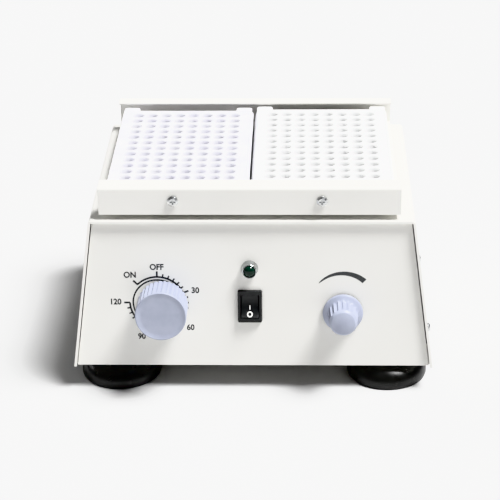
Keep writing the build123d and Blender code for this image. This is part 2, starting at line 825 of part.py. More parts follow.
# Tray: floor, rear wall with its flange turned forward, and a low front upstand
tray_back = tray_depth / 2
upstand_y = -tray_depth / 2 + tray_sheet
rail_screw_places = (rail_screw_shift - rail_screw_x, rail_screw_shift + rail_screw_x)
with BuildPart() as tray:
    with BuildSketch(Plane.YZ.offset(pin_x)):
        with Locations((pin_y, tray_z)):
            Polygon(
                (upstand_y, 0),
                (tray_back, 0),
                (tray_back, tray_height),
                (tray_back - rear_flange, tray_height),
                (tray_back - rear_flange, tray_height - tray_sheet),
                (tray_back - tray_sheet, tray_height - tray_sheet),
                (tray_back - tray_sheet, tray_sheet),
                (upstand_y + tray_sheet, tray_sheet),
                (upstand_y + tray_sheet, front_upstand),
                (upstand_y, front_upstand),
                align=None,
            )
    extrude(amount=tray_width / 2, both=True)
    fold = tray.edges().filter_by(Axis.X)
    rear_folds = fold.group_by(Axis.Y)[-1]
    front_fold = fold.group_by(Axis.Y)[0].sort_by(Axis.Z)[0]
    fillet([*rear_folds, front_fold], radius=tray_outside_bend)
    for x, y in post_points:
        bore(Plane((x, y, tray_z + tray_sheet)), m4_radius + seat_gap, 2 * tray_sheet)
        sink(Plane((x, y, tray_z + tray_sheet)), m4_radius + seat_gap, m4_sink_radius)
    for x in rail_screw_places:
        seat = Plane(
            origin=(pin_x + x, pin_y + upstand_y, tray_z + rail_screw_up), x_dir=(1, 0, 0), z_dir=(0, -1, 0)
        )
        bore(seat, m3_radius + seat_gap, 3 * tray_sheet)
save(tray, "tray")

# Front rail: the lip that closes the tray's front and folds back over the microplates
rail_front = -tray_depth / 2
with BuildPart() as front_rail:
    with BuildSketch(Plane.YZ.offset(pin_x)):
        with Locations((pin_y, tray_z)):
            Polygon(
                (rail_front, rail_foot),
                (rail_front, tray_height),
                (rail_front + front_flange, tray_height),
                (rail_front + front_flange, tray_height - tray_sheet),
                (rail_front + tray_sheet, tray_height - tray_sheet),
                (rail_front + tray_sheet, rail_foot),
                align=None,
            )
    extrude(amount=tray_width / 2, both=True)
    fold = front_rail.edges().filter_by(Axis.X)
    fillet(fold.group_by(Axis.Y)[0].sort_by(Axis.Z)[-1], radius=tray_outside_bend)
    for x in rail_screw_places:
        seat = Plane(
            origin=(pin_x + x, pin_y + rail_front, tray_z + rail_screw_up), x_dir=(1, 0, 0), z_dir=(0, -1, 0)
        )
        bore(seat, m3_radius + seat_gap, 3 * tray_sheet)
save(front_rail, "front_rail")

with BuildPart() as rail_screws:
    for x in rail_screw_places:
        seat = Plane(
            origin=(pin_x + x, pin_y + rail_front, tray_z + rail_screw_up), x_dir=(1, 0, 0), z_dir=(0, -1, 0)
        )
        pan_head_screw(seat, m3_radius, 2 * tray_sheet + m3_nut_height, m3_head_radius, m3_head_height)
save(rail_screws, "rail_screws")

with BuildPart() as rail_nuts:
    for x in rail_screw_places:
        seat = Plane(
            origin=(pin_x + x, pin_y + upstand_y + tray_sheet, tray_z + rail_screw_up),
            x_dir=(1, 0, 0),
            z_dir=(0, 1, 0),
        )
        with BuildSketch(seat):
            RegularPolygon(m3_nut_across / 2, 6, major_radius=False)
            Circle(m3_radius + seat_gap, mode=Mode.SUBTRACT)
        extrude(amount=m3_nut_height)
save(rail_nuts, "rail_nuts")

# Microplates: a footed frame, a deck set back between four corner blocks, and open wells
body_x = plate_width / 2 - plate_inset
body_y = plate_length / 2 - plate_inset
notch_x = plate_notch_width / 2
notch_y = body_y - plate_notch_depth
deck_outline = [
    (body_x, -body_y),
    (body_x, body_y),
    (notch_x, body_y),
    (notch_x, notch_y),
    (-notch_x, notch_y),
    (-notch_x, body_y),
    (-body_x, body_y),
    (-body_x, -body_y),
    (-notch_x, -body_y),
    (-notch_x, -notch_y),
    (notch_x, -notch_y),
    (notch_x, -body_y),
]
plate_x = (plate_width + plate_gap) / 2
plate_front_y = upstand_y + tray_sheet + m3_nut_height + plate_length / 2
plate_places = (
    ("microplate_left", pin_x - plate_x, pin_y + plate_front_y + plate_left_gap),
    ("microplate_right", pin_x + plate_x, pin_y + plate_front_y + plate_right_gap),
)
for name, x, y in plate_places:
    with BuildPart() as microplate:
        with BuildSketch(Plane((x, y, plate_z))):
            RectangleRounded(plate_width, plate_length, plate_corner)
        extrude(amount=plate_foot_height)
        with BuildSketch(Plane((x, y, plate_z))):
            Polygon(*deck_outline, align=None)
        extrude(amount=plate_height)
        with BuildSketch(Plane((x, y, plate_z))):
            Polygon(*deck_outline, align=None)
            offset(amount=-plate_wall, kind=Kind.INTERSECTION, mode=Mode.REPLACE)
        extrude(amount=plate_height - plate_deck, mode=Mode.SUBTRACT)
        with BuildSketch(Plane((x, y, plate_z + well_bottom - well_floor))):
            with GridLocations(well_pitch, well_pitch, well_columns, well_rows):
                Circle(well_tube_radius)
        extrude(amount=plate_height - plate_deck - well_bottom + well_floor)
        with BuildSketch(Plane((x, y, plate_z + well_bottom))):
            with GridLocations(well_pitch, well_pitch, well_columns, well_rows):
                Circle(well_radius)
        extrude(amount=plate_height - well_bottom, mode=Mode.SUBTRACT)
        with BuildSketch(Plane((x, y, plate_z + plate_height))):
            with GridLocations(2 * (body_x - dimple_in), 2 * (body_y - plate_notch_depth / 2), 2, 2):
                Circle(dimple_radius)
        extrude(amount=-dimple_depth, mode=Mode.SUBTRACT)
    save(microplate, name)

# Timer: a square clockwork case behind the panel, its bush through the panel
with BuildPart() as timer_body:
    with Locations(Location(front_plane(timer_x, timer_down, -sheet))):
        Box(timer_size, timer_size, timer_length, align=high)
        Cylinder(timer_bush_radius, timer_bush_length - rest_gap, align=low)
    timer_edges = timer_body.edges().filter_by(lambda e: abs(e.length - timer_length) < 0.01)
    fillet(timer_edges, radius=3)
    bush_out = timer_bush_length - sheet
    bore(front_plane(timer_x, timer_down, bush_out), shaft_radius + running_gap, 22)
    for x in (-timer_screw_x, timer_screw_x):
        bore(front_plane(timer_x + x, timer_down, -sheet), m3_radius + seat_gap, 8)
save(timer_body, "timer_body")

with BuildPart() as timer_screws:
    for x in (-timer_screw_x, timer_screw_x):
        sunk_screw(front_plane(timer_x + x, timer_down), m3_radius, timer_screw_length, m3_head_radius - 0.4)
save(timer_screws, "timer_screws")

hub_cap = 3.0
with BuildPart() as timer_shaft:
    with Locations(Location(front_plane(timer_x, timer_down, timer_knob_top - hub_cap - 0.5))):
        Cylinder(shaft_radius, timer_knob_top - hub_cap + 16, align=high)
save(timer_shaft, "timer_shaft")

# Timer knob: a fluted cap with a hub for the shaft and a notch at the top of its face
with BuildPart() as timer_knob:
    with BuildSketch(front_plane(timer_x, timer_down, knob_standoff)):
        Circle(timer_knob_radius)
        with PolarLocations(timer_knob_radius + timer_flute_radius - timer_flute_depth, timer_knob_flutes):
            Circle(timer_flute_radius, mode=Mode.SUBTRACT)
    extrude(amount=timer_knob_top - knob_standoff - timer_knob_rim)
    with Locations(Location(front_plane(timer_x, timer_down, timer_knob_top))):
        Cylinder(timer_knob_radius, timer_knob_rim, align=high)
    with BuildSketch(front_plane(timer_x, timer_down, knob_standoff)):
        Circle(timer_knob_radius - timer_knob_wall)
    extrude(amount=timer_knob_top - knob_standoff - hub_cap, mode=Mode.SUBTRACT)
    with BuildSketch(front_plane(timer_x, timer_down, timer_bush_length - sheet + rest_gap)):
        Circle(timer_hub_radius)
    extrude(amount=timer_knob_top - hub_cap - timer_bush_length + sheet)
    bore(
        front_plane(timer_x, timer_down, timer_knob_top - hub_cap),
        shaft_radius + seat_gap,
        timer_knob_top,
    )
    notch = front_plane(timer_x, timer_down - timer_knob_radius + 0.9, timer_knob_top)
    with Locations(Location(notch)):
        Box(0.9, 1.8, 0.7, align=high, mode=Mode.SUBTRACT)
save(timer_knob, "timer_knob")

# Speed control: a round potentiometer behind the panel, held by a nut in front
with BuildPart() as speed_pot:
    with Locations(Location(front_plane(speed_x, speed_down, -sheet))):
        Cylinder(pot_radius, pot_length, align=high)
        Cylinder(pot_bush_radius, pot_bush_length, align=low)
        with Locations((0, -pot_radius, -pot_length / 2)):
            Box(12, 5, 2)
    bore(front_plane(speed_x, speed_down, pot_bush_length), shaft_radius + running_gap, 15)
save(speed_pot, "speed_pot")

with BuildPart() as pot_nut:
    with BuildSketch(front_plane(speed_x, speed_down)):
        RegularPolygon(pot_nut_across / 2, 6, major_radius=False)
        Circle(pot_bush_radius + seat_gap, mode=Mode.SUBTRACT)
    extrude(amount=pot_nut_height)
save(pot_nut, "pot_nut")

speed_cap = 3.0
with BuildPart() as pot_shaft:
    with Locations(Location(front_plane(speed_x, speed_down, speed_knob_top - speed_cap - 0.5))):
        Cylinder(shaft_radius, speed_knob_top - speed_cap + 6, align=high)
save(pot_shaft, "pot_shaft")

# Speed knob: a round skirt that sweeps up into a fluted grip
pot_bush_out = pot_bush_length - sheet
with BuildPart() as speed_knob:
    with BuildSketch(front_plane(speed_x, speed_down, knob_standoff)):
        Circle(speed_skirt_radius)
    extrude(amount=speed_skirt_height - knob_standoff)
    with BuildSketch(front_plane(speed_x, speed_down, speed_skirt_height)):
        Circle(speed_skirt_radius - 0.6)
    with BuildSketch(front_plane(speed_x, speed_down, speed_skirt_height + 3.0)):
        Circle(speed_grip_radius + 0.6)
    loft()
    with BuildSketch(front_plane(speed_x, speed_down, speed_skirt_height)):
        Circle(speed_grip_radius)
        with PolarLocations(speed_grip_radius + speed_flute_radius - speed_flute_depth, speed_knob_flutes):
            Circle(speed_flute_radius, mode=Mode.SUBTRACT)
    extrude(amount=speed_knob_top - speed_skirt_height)
    with BuildSketch(front_plane(speed_x, speed_down, knob_standoff)):
        Circle(pot_nut_across / 2 + 1.4)
    extrude(amount=speed_cavity_height - knob_standoff, mode=Mode.SUBTRACT)
    bore(
        front_plane(speed_x, speed_down, speed_knob_top - speed_cap),
        shaft_radius + seat_gap,
        speed_knob_top,
    )
save(speed_knob, "speed_knob")

# Rocker switch: the housing with its bezel, its two blades, and the rocker between its cheeks
with BuildPart() as switch_body:
    with BuildSketch(front_plane(column_x, switch_down)):
        RectangleRounded(bezel_width, bezel_height, 1.0)
    extrude(amount=bezel_thickness, taper=8)
    with Locations(Location(front_plane(column_x, switch_down))):
        Box(switch_width, switch_height, switch_depth, align=high)
    with Locations(Location(front_plane(column_x, switch_down, bezel_thickness))):
        Box(
            rocker_opening_width,
            rocker_opening_height,
            bezel_thickness + rocker_well_depth,
            align=high,
            mode=Mode.SUBTRACT,
        )
    with Locations(Location(front_plane(column_x, switch_down, rocker_pivot_out))):
        Cylinder(
            rocker_stub_radius + seat_gap,
            rocker_opening_width + 2 * rocker_stub_length,
            rotation=(0, 90, 0),
            mode=Mode.SUBTRACT,
        )
save(switch_body, "switch_body")

with BuildPart() as switch_terminals:
    for up in (-terminal_pitch, 0.0, terminal_pitch):
        with Locations(Location(front_plane(column_x, switch_down - up, -switch_depth))):
            Box(terminal_width, terminal_thickness, terminal_length, align=high)
save(switch_terminals, "switch_terminals")

# The rocker's outline is a disc about its pivot, cut by the two facets of its hollow face
# and by a flat belly, and turned so that its upper end is pressed in.
rocker_width = rocker_opening_width - 2 * rocker_side_gap
face_tip = (rocker_radius**2 - rocker_face_end**2) ** 0.5
rocker_pivot = front_plane(column_x, switch_down, rocker_pivot_out)
rocker_lean = front_tilt + radians(rocker_swing)
rocker_side = Plane(
    origin=rocker_pivot.origin,
    x_dir=(0, sin(rocker_lean), cos(rocker_lean)),
    z_dir=(1, 0, 0),
)
with BuildPart() as rocker:
    with BuildSketch(rocker_side):
        Circle(rocker_radius)
        with BuildLine():
            Polyline(
                (-rocker_radius - 1, rocker_face_end),
                (-face_tip, rocker_face_end),
                (0, rocker_face_middle),
                (face_tip, rocker_face_end),
                (rocker_radius + 1, rocker_face_end),
                (rocker_radius + 1, rocker_radius + 1),
                (-rocker_radius - 1, rocker_radius + 1),
                close=True,
            )
        make_face(mode=Mode.SUBTRACT)
        with Locations((0, -rocker_belly)):
            Rectangle(
                2 * rocker_radius + 2,
                rocker_radius,
                align=(Align.CENTER, Align.MAX),
                mode=Mode.SUBTRACT,
            )
    extrude(amount=rocker_width / 2, both=True)
    with Locations(Location(rocker_pivot)):
        Cylinder(
            rocker_stub_radius,
            rocker_opening_width + 2 * rocker_stub_length - 2 * seat_gap,
            rotation=(0, 90, 0),
        )
save(rocker, "rocker")

# Indicator lamp: a plated bezel through the panel with a domed lens
with BuildPart() as lamp_bezel:
    with BuildSketch(front_plane(column_x, led_down)):
        Circle(lamp_flange_radius)
    extrude(amount=lamp_flange_height, taper=lamp_flange_taper)
    with Locations(Location(front_plane(column_x, led_down))):
        Cylinder(lamp_body_radius, lamp_body_length, align=high)
    bore(front_plane(column_x, led_down, lamp_flange_height), lens_radius, lamp_bore_depth)
save(lamp_bezel, "lamp_bezel")

with BuildPart() as lamp_lens:
    with Locations(Location(front_plane(column_x, led_down, lamp_flange_height))):
        Cylinder(lens_radius - seat_gap, lamp_bore_depth - rest_gap, align=high)
        Cylinder(lens_radius - seat_gap, lens_stand, align=low)
    cap_radius = ((lens_radius - seat_gap) ** 2 + lens_rise**2) / (2 * lens_rise)
    cap_start = degrees(asin((cap_radius - lens_rise) / cap_radius))
    cap_out = lamp_flange_height + lens_stand + lens_rise - cap_radius
    with Locations(Location(front_plane(column_x, led_down, cap_out))):
        Sphere(cap_radius, arc_size1=cap_start, arc_size2=90, align=None)
save(lamp_lens, "lamp_lens")

# Mains inlet in the rear panel: flange, shrouded well and three pins
with BuildPart() as power_inlet:
    with BuildSketch(back_plane(inlet_x, inlet_down)):
        RectangleRounded(inlet_flange_width, inlet_flange_height, 3)
    extrude(amount=inlet_flange_thickness)
    with Locations(Location(back_plane(inlet_x, inlet_down, inlet_flange_thickness))):
        Box(
            inlet_body_width,
            inlet_body_height,
            inlet_cavity_depth + inlet_floor,
            align=high,
        )
    with BuildSketch(back_plane(inlet_x, inlet_down, inlet_flange_thickness)):
        well = Rectangle(inlet_cavity_width, inlet_cavity_height)
        chamfer(well.vertices().group_by(Axis.Y)[-1], length=inlet_corner)
    extrude(amount=-inlet_cavity_depth, mode=Mode.SUBTRACT)
    for x, up in ((-pin_pitch / 2, 0), (0, earth_pin_rise), (pin_pitch / 2, 0)):
        seat = back_plane(inlet_x + x, inlet_down - up, inlet_flange_thickness)
        with Locations(Location(seat)):
            Box(
                pin_width,
                pin_height,
                inlet_cavity_depth + inlet_floor,
                align=high,
                mode=Mode.SUBTRACT,
            )
    for x in (-inlet_screw_spacing / 2, inlet_screw_spacing / 2):
        seat = back_plane(inlet_x + x, inlet_down, inlet_flange_thickness)
        bore(seat, m3_radius + seat_gap, 2 * inlet_flange_thickness)
        sink(seat, m3_radius, m3_head_radius - 0.4)
save(power_inlet, "power_inlet")

with BuildPart() as inlet_pins:
    for x, up in ((-pin_pitch / 2, 0), (0, earth_pin_rise), (pin_pitch / 2, 0)):
        root = back_plane(
            inlet_x + x, inlet_down - up, inlet_flange_thickness - inlet_cavity_depth - inlet_floor
        )
        with Locations(Location(root)):
            Box(pin_width, pin_height, inlet_floor + pin_length, align=low)
            Box(pin_width / 2, pin_height, pin_tail, align=high)
save(inlet_pins, "inlet_pins")

with BuildPart() as inlet_screws:
    for x in (-inlet_screw_spacing / 2, inlet_screw_spacing / 2):
        seat = back_plane(inlet_x + x, inlet_down, inlet_flange_thickness)
        sunk_screw(seat, m3_radius, inlet_flange_thickness + inlet_screw_tail, m3_head_radius - 0.4)
save(inlet_screws, "inlet_screws")

# Control board on standoffs, with its capacitor
board_z = pan_top + standoff_height
with BuildPart() as board_standoffs:
    for x, y in standoff_points:
        with Locations((x, y, pan_top)):
            Cylinder(standoff_radius, standoff_height, align=low)
        bore(Plane((x, y, board_z)), m3_radius + seat_gap, standoff_height)
save(board_standoffs, "board_standoffs")

with BuildPart() as control_board:
    with Locations((board_x, middle_y + board_y, board_z)):
        Box(board_width, board_length, board_thickness, align=low)
    for x, y in standoff_points:
        bore(Plane((x, y, board_z + 1 + board_thickness)), m3_radius + seat_gap, 5)
    with Locations((board_x + board_sink_x, middle_y + board_y, board_z + board_thickness)):
        Box(board_sink_width, board_sink_length, board_sink_height, align=low)
    relay_place = (board_x + board_relay_x, middle_y + board_y + board_relay_y, board_z + board_thickness)
    with Locations(relay_place):
        Box(board_relay_width, board_relay_length, board_relay_height, align=low)
save(control_board, "control_board")

with BuildPart() as board_screws:
    for x, y in standoff_points:
        pan_head_screw(
            Plane((x, y, board_z + board_thickness)), m3_radius, board_thickness + 6, 2.8, 1.9
        )
        low_seat = Plane(origin=(x, y, pan_z), x_dir=(1, 0, 0), z_dir=(0, 0, -1))
        pan_head_screw(low_seat, m3_radius, sheet + 1.5, 2.8, 1.9)
save(board_screws, "board_screws")

with BuildPart() as capacitor:
    with Locations((board_x - 5, middle_y + board_y - 10, board_z + board_thickness)):
        Cylinder(capacitor_radius, capacitor_height, align=low)
    fillet(capacitor.edges().group_by(Axis.Z)[-1], radius=1)
save(capacitor, "capacitor")

# Transformer: a laminated frame with a foot, round a wound coil
core_mid = (core_x, middle_y + core_y, pan_top)
with BuildPart() as transformer_core:
    with Locations(core_mid):
        Box(core_width, core_length, core_height, align=low)
        with Locations((0, 0, core_limb)):
            Box(
                core_width - 2 * core_limb,
                core_length,
                core_height - 2 * core_limb,
                align=low,
                mode=Mode.SUBTRACT,
            )
        Box(12, 2 * core_screw_y + 8, sheet, align=low)
        with Locations((0, 0, core_limb)):
            Box(core_limb * 1.6, core_length, core_height - 2 * core_limb, align=low)
    for y in (-core_screw_y, core_screw_y):
        bore(Plane((core_x, core_mid[1] + y, pan_top + sheet)), m3_radius + seat_gap, sheet)
save(transformer_core, "transformer_core")

with BuildPart() as transformer_coil:
    with Locations((core_x, core_mid[1], pan_top + core_limb + rest_gap / 2)):
        Box(
            core_width - 2 * core_limb - rest_gap,
            coil_length,
            core_height - 2 * core_limb - rest_gap,
            align=low,
        )
        Box(
            core_limb * 1.6 + 2 * seat_gap,
            core_length + 2 * seat_gap,
            core_height,
            align=low,
            mode=Mode.SUBTRACT,
        )
save(transformer_coil, "transformer_coil")

with BuildPart() as core_screws:
    for y in (-core_screw_y, core_screw_y):
        pan_head_screw(
            Plane((core_x, core_mid[1] + y, pan_top + sheet)), m3_radius, 2 * sheet + 1.5, 2.8, 1.9
        )
save(core_screws, "core_screws")

print("middle_y", round(middle_y, 3), "front reach", round(front_reach, 2), "top", tray_z + tray_height)
print("tilts", round(degrees(front_tilt), 3), round(degrees(side_tilt), 3), "pin", pin_x, pin_y)
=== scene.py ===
import bmesh
import bpy
import json
import numpy as np
from mathutils import Matrix


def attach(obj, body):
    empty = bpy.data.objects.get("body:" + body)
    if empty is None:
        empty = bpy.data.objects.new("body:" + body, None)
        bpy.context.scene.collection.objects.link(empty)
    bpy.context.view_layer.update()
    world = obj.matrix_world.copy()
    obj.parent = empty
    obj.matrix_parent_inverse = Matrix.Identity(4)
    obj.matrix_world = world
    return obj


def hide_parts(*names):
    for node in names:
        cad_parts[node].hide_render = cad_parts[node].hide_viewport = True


# A bench-top micro shaker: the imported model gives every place, and this script dresses it.
# Lengths are millimetres until a mesh is made, and the panel's points are (across, down, out).

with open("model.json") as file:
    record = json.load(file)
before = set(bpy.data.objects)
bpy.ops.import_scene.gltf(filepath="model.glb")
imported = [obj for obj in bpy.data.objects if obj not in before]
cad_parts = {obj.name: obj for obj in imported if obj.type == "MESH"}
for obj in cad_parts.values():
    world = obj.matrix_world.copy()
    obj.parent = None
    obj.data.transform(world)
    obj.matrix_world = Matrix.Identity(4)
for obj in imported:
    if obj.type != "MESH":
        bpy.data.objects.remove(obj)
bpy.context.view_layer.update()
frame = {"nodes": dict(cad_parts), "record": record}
nodes = frame["nodes"]
print("frame loaded:", len(nodes), "nodes")

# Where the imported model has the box's top edge, its sloping front and the tray's floor
shell = dict(topZ=111.4, middleY=8.024, topDepth=151.8, tilt=np.arctan2(8.6, 95.4), recess=2.5)
trayPlace = dict(x=-1.0607, y=6.963, floorZ=115.8)
metre = 1000.0


# Meshes

def addObject(name, data):
    # an object at the origin, linked to the scene
    item = bpy.data.objects.new(name, data)
    bpy.context.scene.collection.objects.link(item)
    return item


def addPiece(name, verts, faces, material, body, smooth=40):
    # one closed object from points in mm and faces; smooth is the angle past which an edge stays sharp
    mesh = bpy.data.meshes.new(name)
    mesh.from_pydata((np.asarray(verts, float) / metre).tolist(), [], [list(map(int, f)) for f in faces])
    mesh.validate()
    piece = addObject(name, mesh)
    turnOutward(mesh)
    mesh.materials.append(material)
    if smooth:
        mesh.polygons.foreach_set("use_smooth", np.ones(len(mesh.polygons), bool))
        mesh.set_sharp_from_angle(angle=np.radians(smooth))
    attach(piece, body)
    return piece


def turnOutward(mesh, weld=1e-7):
    # joins points that meet and turns the faces of the closed surface away from its inside
    work = bmesh.new()
    work.from_mesh(mesh)
    bmesh.ops.remove_doubles(work, verts=work.verts, dist=weld)
    bmesh.ops.recalc_face_normals(work, faces=work.faces)
    work.to_mesh(mesh)
    work.free()


def addModifier(piece, kind, **settings):
    # one modifier with its settings
    modifier = piece.modifiers.new(kind.title(), kind)
    for key, value in settings.items():
        setattr(modifier, key, value)
    return modifier


def atHeight(outline, height):
    # points (x, y) lifted to one height
    return np.column_stack([outline, np.full(len(outline), height)])


def gridFaces(rows, columns, first=0):
    # quads between neighbouring rows of a grid of points whose columns close round
    i = np.arange(rows - 1)[:, None] * columns
    j = np.arange(columns)[None, :]
    k = (j + 1) % columns
    return (np.stack([i + j, i + k, i + columns + k, i + columns + j], -1) + first).reshape(-1, 4)


def fanFaces(first, count, pole):
    # triangles from a closed row of points, count of them from first on, to one pole point
    j = np.arange(count)
    return np.stack([first + j, first + (j + 1) % count, np.full(count, pole)], -1)


def joinShells(shells):
    # several (points, faces) put into one list of points and one of faces
    points, faces, first = [], [], 0
    for some, theirs in shells:
        points.append(np.asarray(some, float))
        faces += [[v + first for v in f] for f in theirs]
        first += len(some)
    return np.concatenate(points), faces


def prism(outline, low, high, lift=atHeight):
    # an outline carried from one height to another, with its two ends closed; lift gives the points their height
    n = len(outline)
    faces = gridFaces(2, n).tolist() + [list(range(n)), list(range(n, 2 * n))]
    return np.concatenate([lift(outline, low), lift(outline, high)]), faces


def hoop(outer, inner, low, high, lift=atHeight):
    # the closed band between an outer and an inner outline, carried from one height to another
    rows = [lift(outer, low), lift(outer, high), lift(inner, high), lift(inner, low), lift(outer, low)]
    return np.concatenate(rows), gridFaces(len(rows), len(outer)).tolist()


def turned(profile, count, flutes=0, deep=None, hollow=False):
    # a profile of (radius, height) carried round the axis: x = r cos t, y = r sin t, z = h, where r dips by deep
    # times a wave: narrow grooves between round ribs, or hollow flutes between sharp ribs; radius 0 is a pole point
    profile = np.asarray(profile, float)
    deep = np.zeros(len(profile)) if deep is None else np.asarray(deep, float)
    t = np.linspace(0, 2 * np.pi, count, endpoint=False)
    wave = 0.5 - 0.5 * np.cos(flutes * t)
    wave = 1 - np.sqrt(1 - wave) if hollow else np.sqrt(wave)
    ring = profile[:, 0] > 0
    rows = profile[ring]
    r = rows[:, :1] - deep[ring][:, None] * (1 - wave)[None, :]
    points = np.stack([r * np.cos(t), r * np.sin(t), np.repeat(rows[:, 1:], count, 1)], -1).reshape(-1, 3)
    faces = gridFaces(len(rows), count).tolist()
    for end, row in ((0, 0), (-1, len(rows) - 1)):
        if not ring[end]:
            faces += fanFaces(row * count, count, len(points)).tolist()
            points = np.concatenate([points, [[0, 0, profile[end, 1]]]])
    return points, faces


def placed(points, origin, across, up, outward):
    # local (x, y, z) taken to an origin along three unit directions: origin + x across + y up + z outward
    points = np.asarray(points, float)
    return np.asarray(origin) + points[:, :1] * across + points[:, 1:2] * up + points[:, 2:3] * outward


def panelFrame(across=0.0, down=0.0, out=0.0):
    # a point on the front panel's face, and the panel's own directions to the right, up its slope and out of it
    s, c = np.sin(shell["tilt"]), np.cos(shell["tilt"])
    right = np.array([1.0, 0.0, 0.0])
    outward = np.array([0.0, -c, s])
    up = np.cross(outward, right)
    edge = np.array([0.0, shell["middleY"] - shell["topDepth"] / 2, shell["topZ"]])
    return edge + across * right - down * up + (out - shell["recess"]) * outward, right, up, outward


def roundedPath(corners, radius, steps):
    # a closed polygon whose corners are arcs: each arc starts and ends radius / tan(half corner) from the corner
    corners = np.asarray(corners, float)
    out = []
    for before, here, after in zip(np.roll(corners, 1, 0), corners, np.roll(corners, -1, 0)):
        a, b = before - here, after - here
        a, b = a / np.linalg.norm(a), b / np.linalg.norm(b)
        half = np.arccos(np.clip(a @ b, -1, 1)) / 2
        reach = radius / np.tan(half)
        centre = here + (a + b) / np.linalg.norm(a + b) * radius / np.sin(half)
        p, q = here + a * reach - centre, here + b * reach - centre
        sweep = np.arctan2(p[0] * q[1] - p[1] * q[0], p @ q)
        t = np.linspace(0, sweep, steps)
        c, s = np.cos(t), np.sin(t)
        out.append(centre + np.stack([p[0] * c - p[1] * s, p[0] * s + p[1] * c], -1))
    return np.concatenate(out)


def rectangle(x0, x1, y0, y1):
    # the four corners, counterclockwise
    return [(x0, y0), (x1, y0), (x1, y1), (x0, y1)]


def circle(radius, count=48):
    # points (r cos t, r sin t) at even steps of t
    t = np.linspace(0, 2 * np.pi, count, endpoint=False)
    return np.stack([radius * np.cos(t), radius * np.sin(t)], -1)


# Materials

def toLinear(code):
    # an sRGB hex colour to the linear values that the shaders take
    v = np.array([int(code[i:i + 2], 16) for i in (1, 3, 5)]) / 255
    return (*np.where(v <= 0.04045, v / 12.92, ((v + 0.055) / 1.055) ** 2.4).tolist(), 1.0)


def addNode(tree, kind, inputs=None, **settings):
    # one node: settings are its own properties; an input is a value, or (node, output) for a link
    node = tree.nodes.new(kind)
    for key, value in settings.items():
        setattr(node, key, value)
    for key, value in (inputs or {}).items():
        if isinstance(value, tuple) and isinstance(value[0], bpy.types.Node):
            tree.links.new(value[0].outputs[value[1]], node.inputs[key])
        else:
            node.inputs[key].default_value = value
    return node


def newMaterial(name, colour, roughness, **sockets):
    # a material with its Principled shader's constant sockets set, its tree and its Object coordinates
    material = bpy.data.materials.new(name)
    material.use_nodes = True
    tree = material.node_tree
    shader = tree.nodes["Principled BSDF"]
    shader.inputs["Base Color"].default_value = toLinear(colour)
    shader.inputs["Roughness"].default_value = roughness
    for key, value in sockets.items():
        shader.inputs[key].default_value = value
    material.diffuse_color = toLinear(colour)
    return material, tree, shader, addNode(tree, "ShaderNodeTexCoord")


def perMillimetre(size):
    # a noise scale on Object coordinates, in metres, whose features are so many millimetres across
    return metre / size


def speckle(tree, shader, coords, size, light, dark, stretch=(1, 1, 1)):
    # the base colour wanders between two close tones in patches of the given size
    place = addNode(tree, "ShaderNodeMapping", {"Vector": (coords, "Object"), "Scale": stretch})
    noise = addNode(tree, "ShaderNodeTexNoise", {
        "Vector": (place, "Vector"), "Scale": perMillimetre(size), "Detail": 3.0})
    spread = addNode(tree, "ShaderNodeMapRange", {"Value": (noise, "Fac"), "From Min": 0.35, "From Max": 0.65})
    tone = addNode(tree, "ShaderNodeMix", {"Factor": (spread, "Result")}, data_type="RGBA")
    tone.inputs[6].default_value, tone.inputs[7].default_value = toLinear(light), toLinear(dark)
    tree.links.new(tone.outputs[2], shader.inputs["Base Color"])


def wander(tree, shader, coords, size, low, high):
    # the roughness wanders between two values in patches of the given size
    noise = addNode(tree, "ShaderNodeTexNoise", {
        "Vector": (coords, "Object"), "Scale": perMillimetre(size), "Detail": 2.0})
    value = addNode(tree, "ShaderNodeMapRange", {
        "Value": (noise, "Fac"), "From Min": 0.3, "From Max": 0.7, "To Min": low, "To Max": high})
    tree.links.new(value.outputs["Result"], shader.inputs["Roughness"])


def relief(tree, shader, coords, size, height, edge=0.0, stretch=(1, 1, 1)):
    # a fine bump of the given size and height in mm, over edges that look rounded by so many mm
    place = addNode(tree, "ShaderNodeMapping", {"Vector": (coords, "Object"), "Scale": stretch})
    noise = addNode(tree, "ShaderNodeTexNoise", {
        "Vector": (place, "Vector"), "Scale": perMillimetre(size), "Detail": 2.0})
    bump = addNode(tree, "ShaderNodeBump", {"Height": (noise, "Fac"), "Distance": height / metre, "Strength": 1.0})
    if edge:
        soft = addNode(tree, "ShaderNodeBevel", {"Radius": edge / metre}, samples=4)
        tree.links.new(soft.outputs["Normal"], bump.inputs["Normal"])
    tree.links.new(bump.outputs["Normal"], shader.inputs["Normal"])


def bands(tree, shader, coords, scale, height, direction):
    # ridges of the given height in mm across one axis; they stand 314 / scale mm apart
    wave = addNode(tree, "ShaderNodeTexWave", {"Vector": (coords, "Object"), "Scale": scale},
                   bands_direction=direction)
    bump = addNode(tree, "ShaderNodeBump", {"Height": (wave, "Fac"), "Distance": height / metre})
    tree.links.new(bump.outputs["Normal"], shader.inputs["Normal"])


# Powder coat on sheet steel: baked paint with a faint orange peel of about 1 mm and soft edges
powderCoat, tree, shader, coords = newMaterial("powderCoat", "#eae9e5", 0.4, IOR=1.5)
speckle(tree, shader, coords, 60, "#ecebe7", "#e8e7e3")
wander(tree, shader, coords, 9, 0.36, 0.46)
relief(tree, shader, coords, 1.1, 0.012, edge=0.45)

# Moulded polystyrene: light goes 2 mm deep and softens the wells, over a polished skin with slight flow marks
scattering = {"Subsurface Weight": 1.0, "Subsurface Radius": (1.0, 1.0, 1.0), "Subsurface Scale": 2 / metre}
polystyrene, tree, shader, coords = newMaterial("polystyrene", "#f3f2f8", 0.16, IOR=1.59, **scattering)
speckle(tree, shader, coords, 14, "#f5f4fb", "#f0eff8")
relief(tree, shader, coords, 2.4, 0.02)

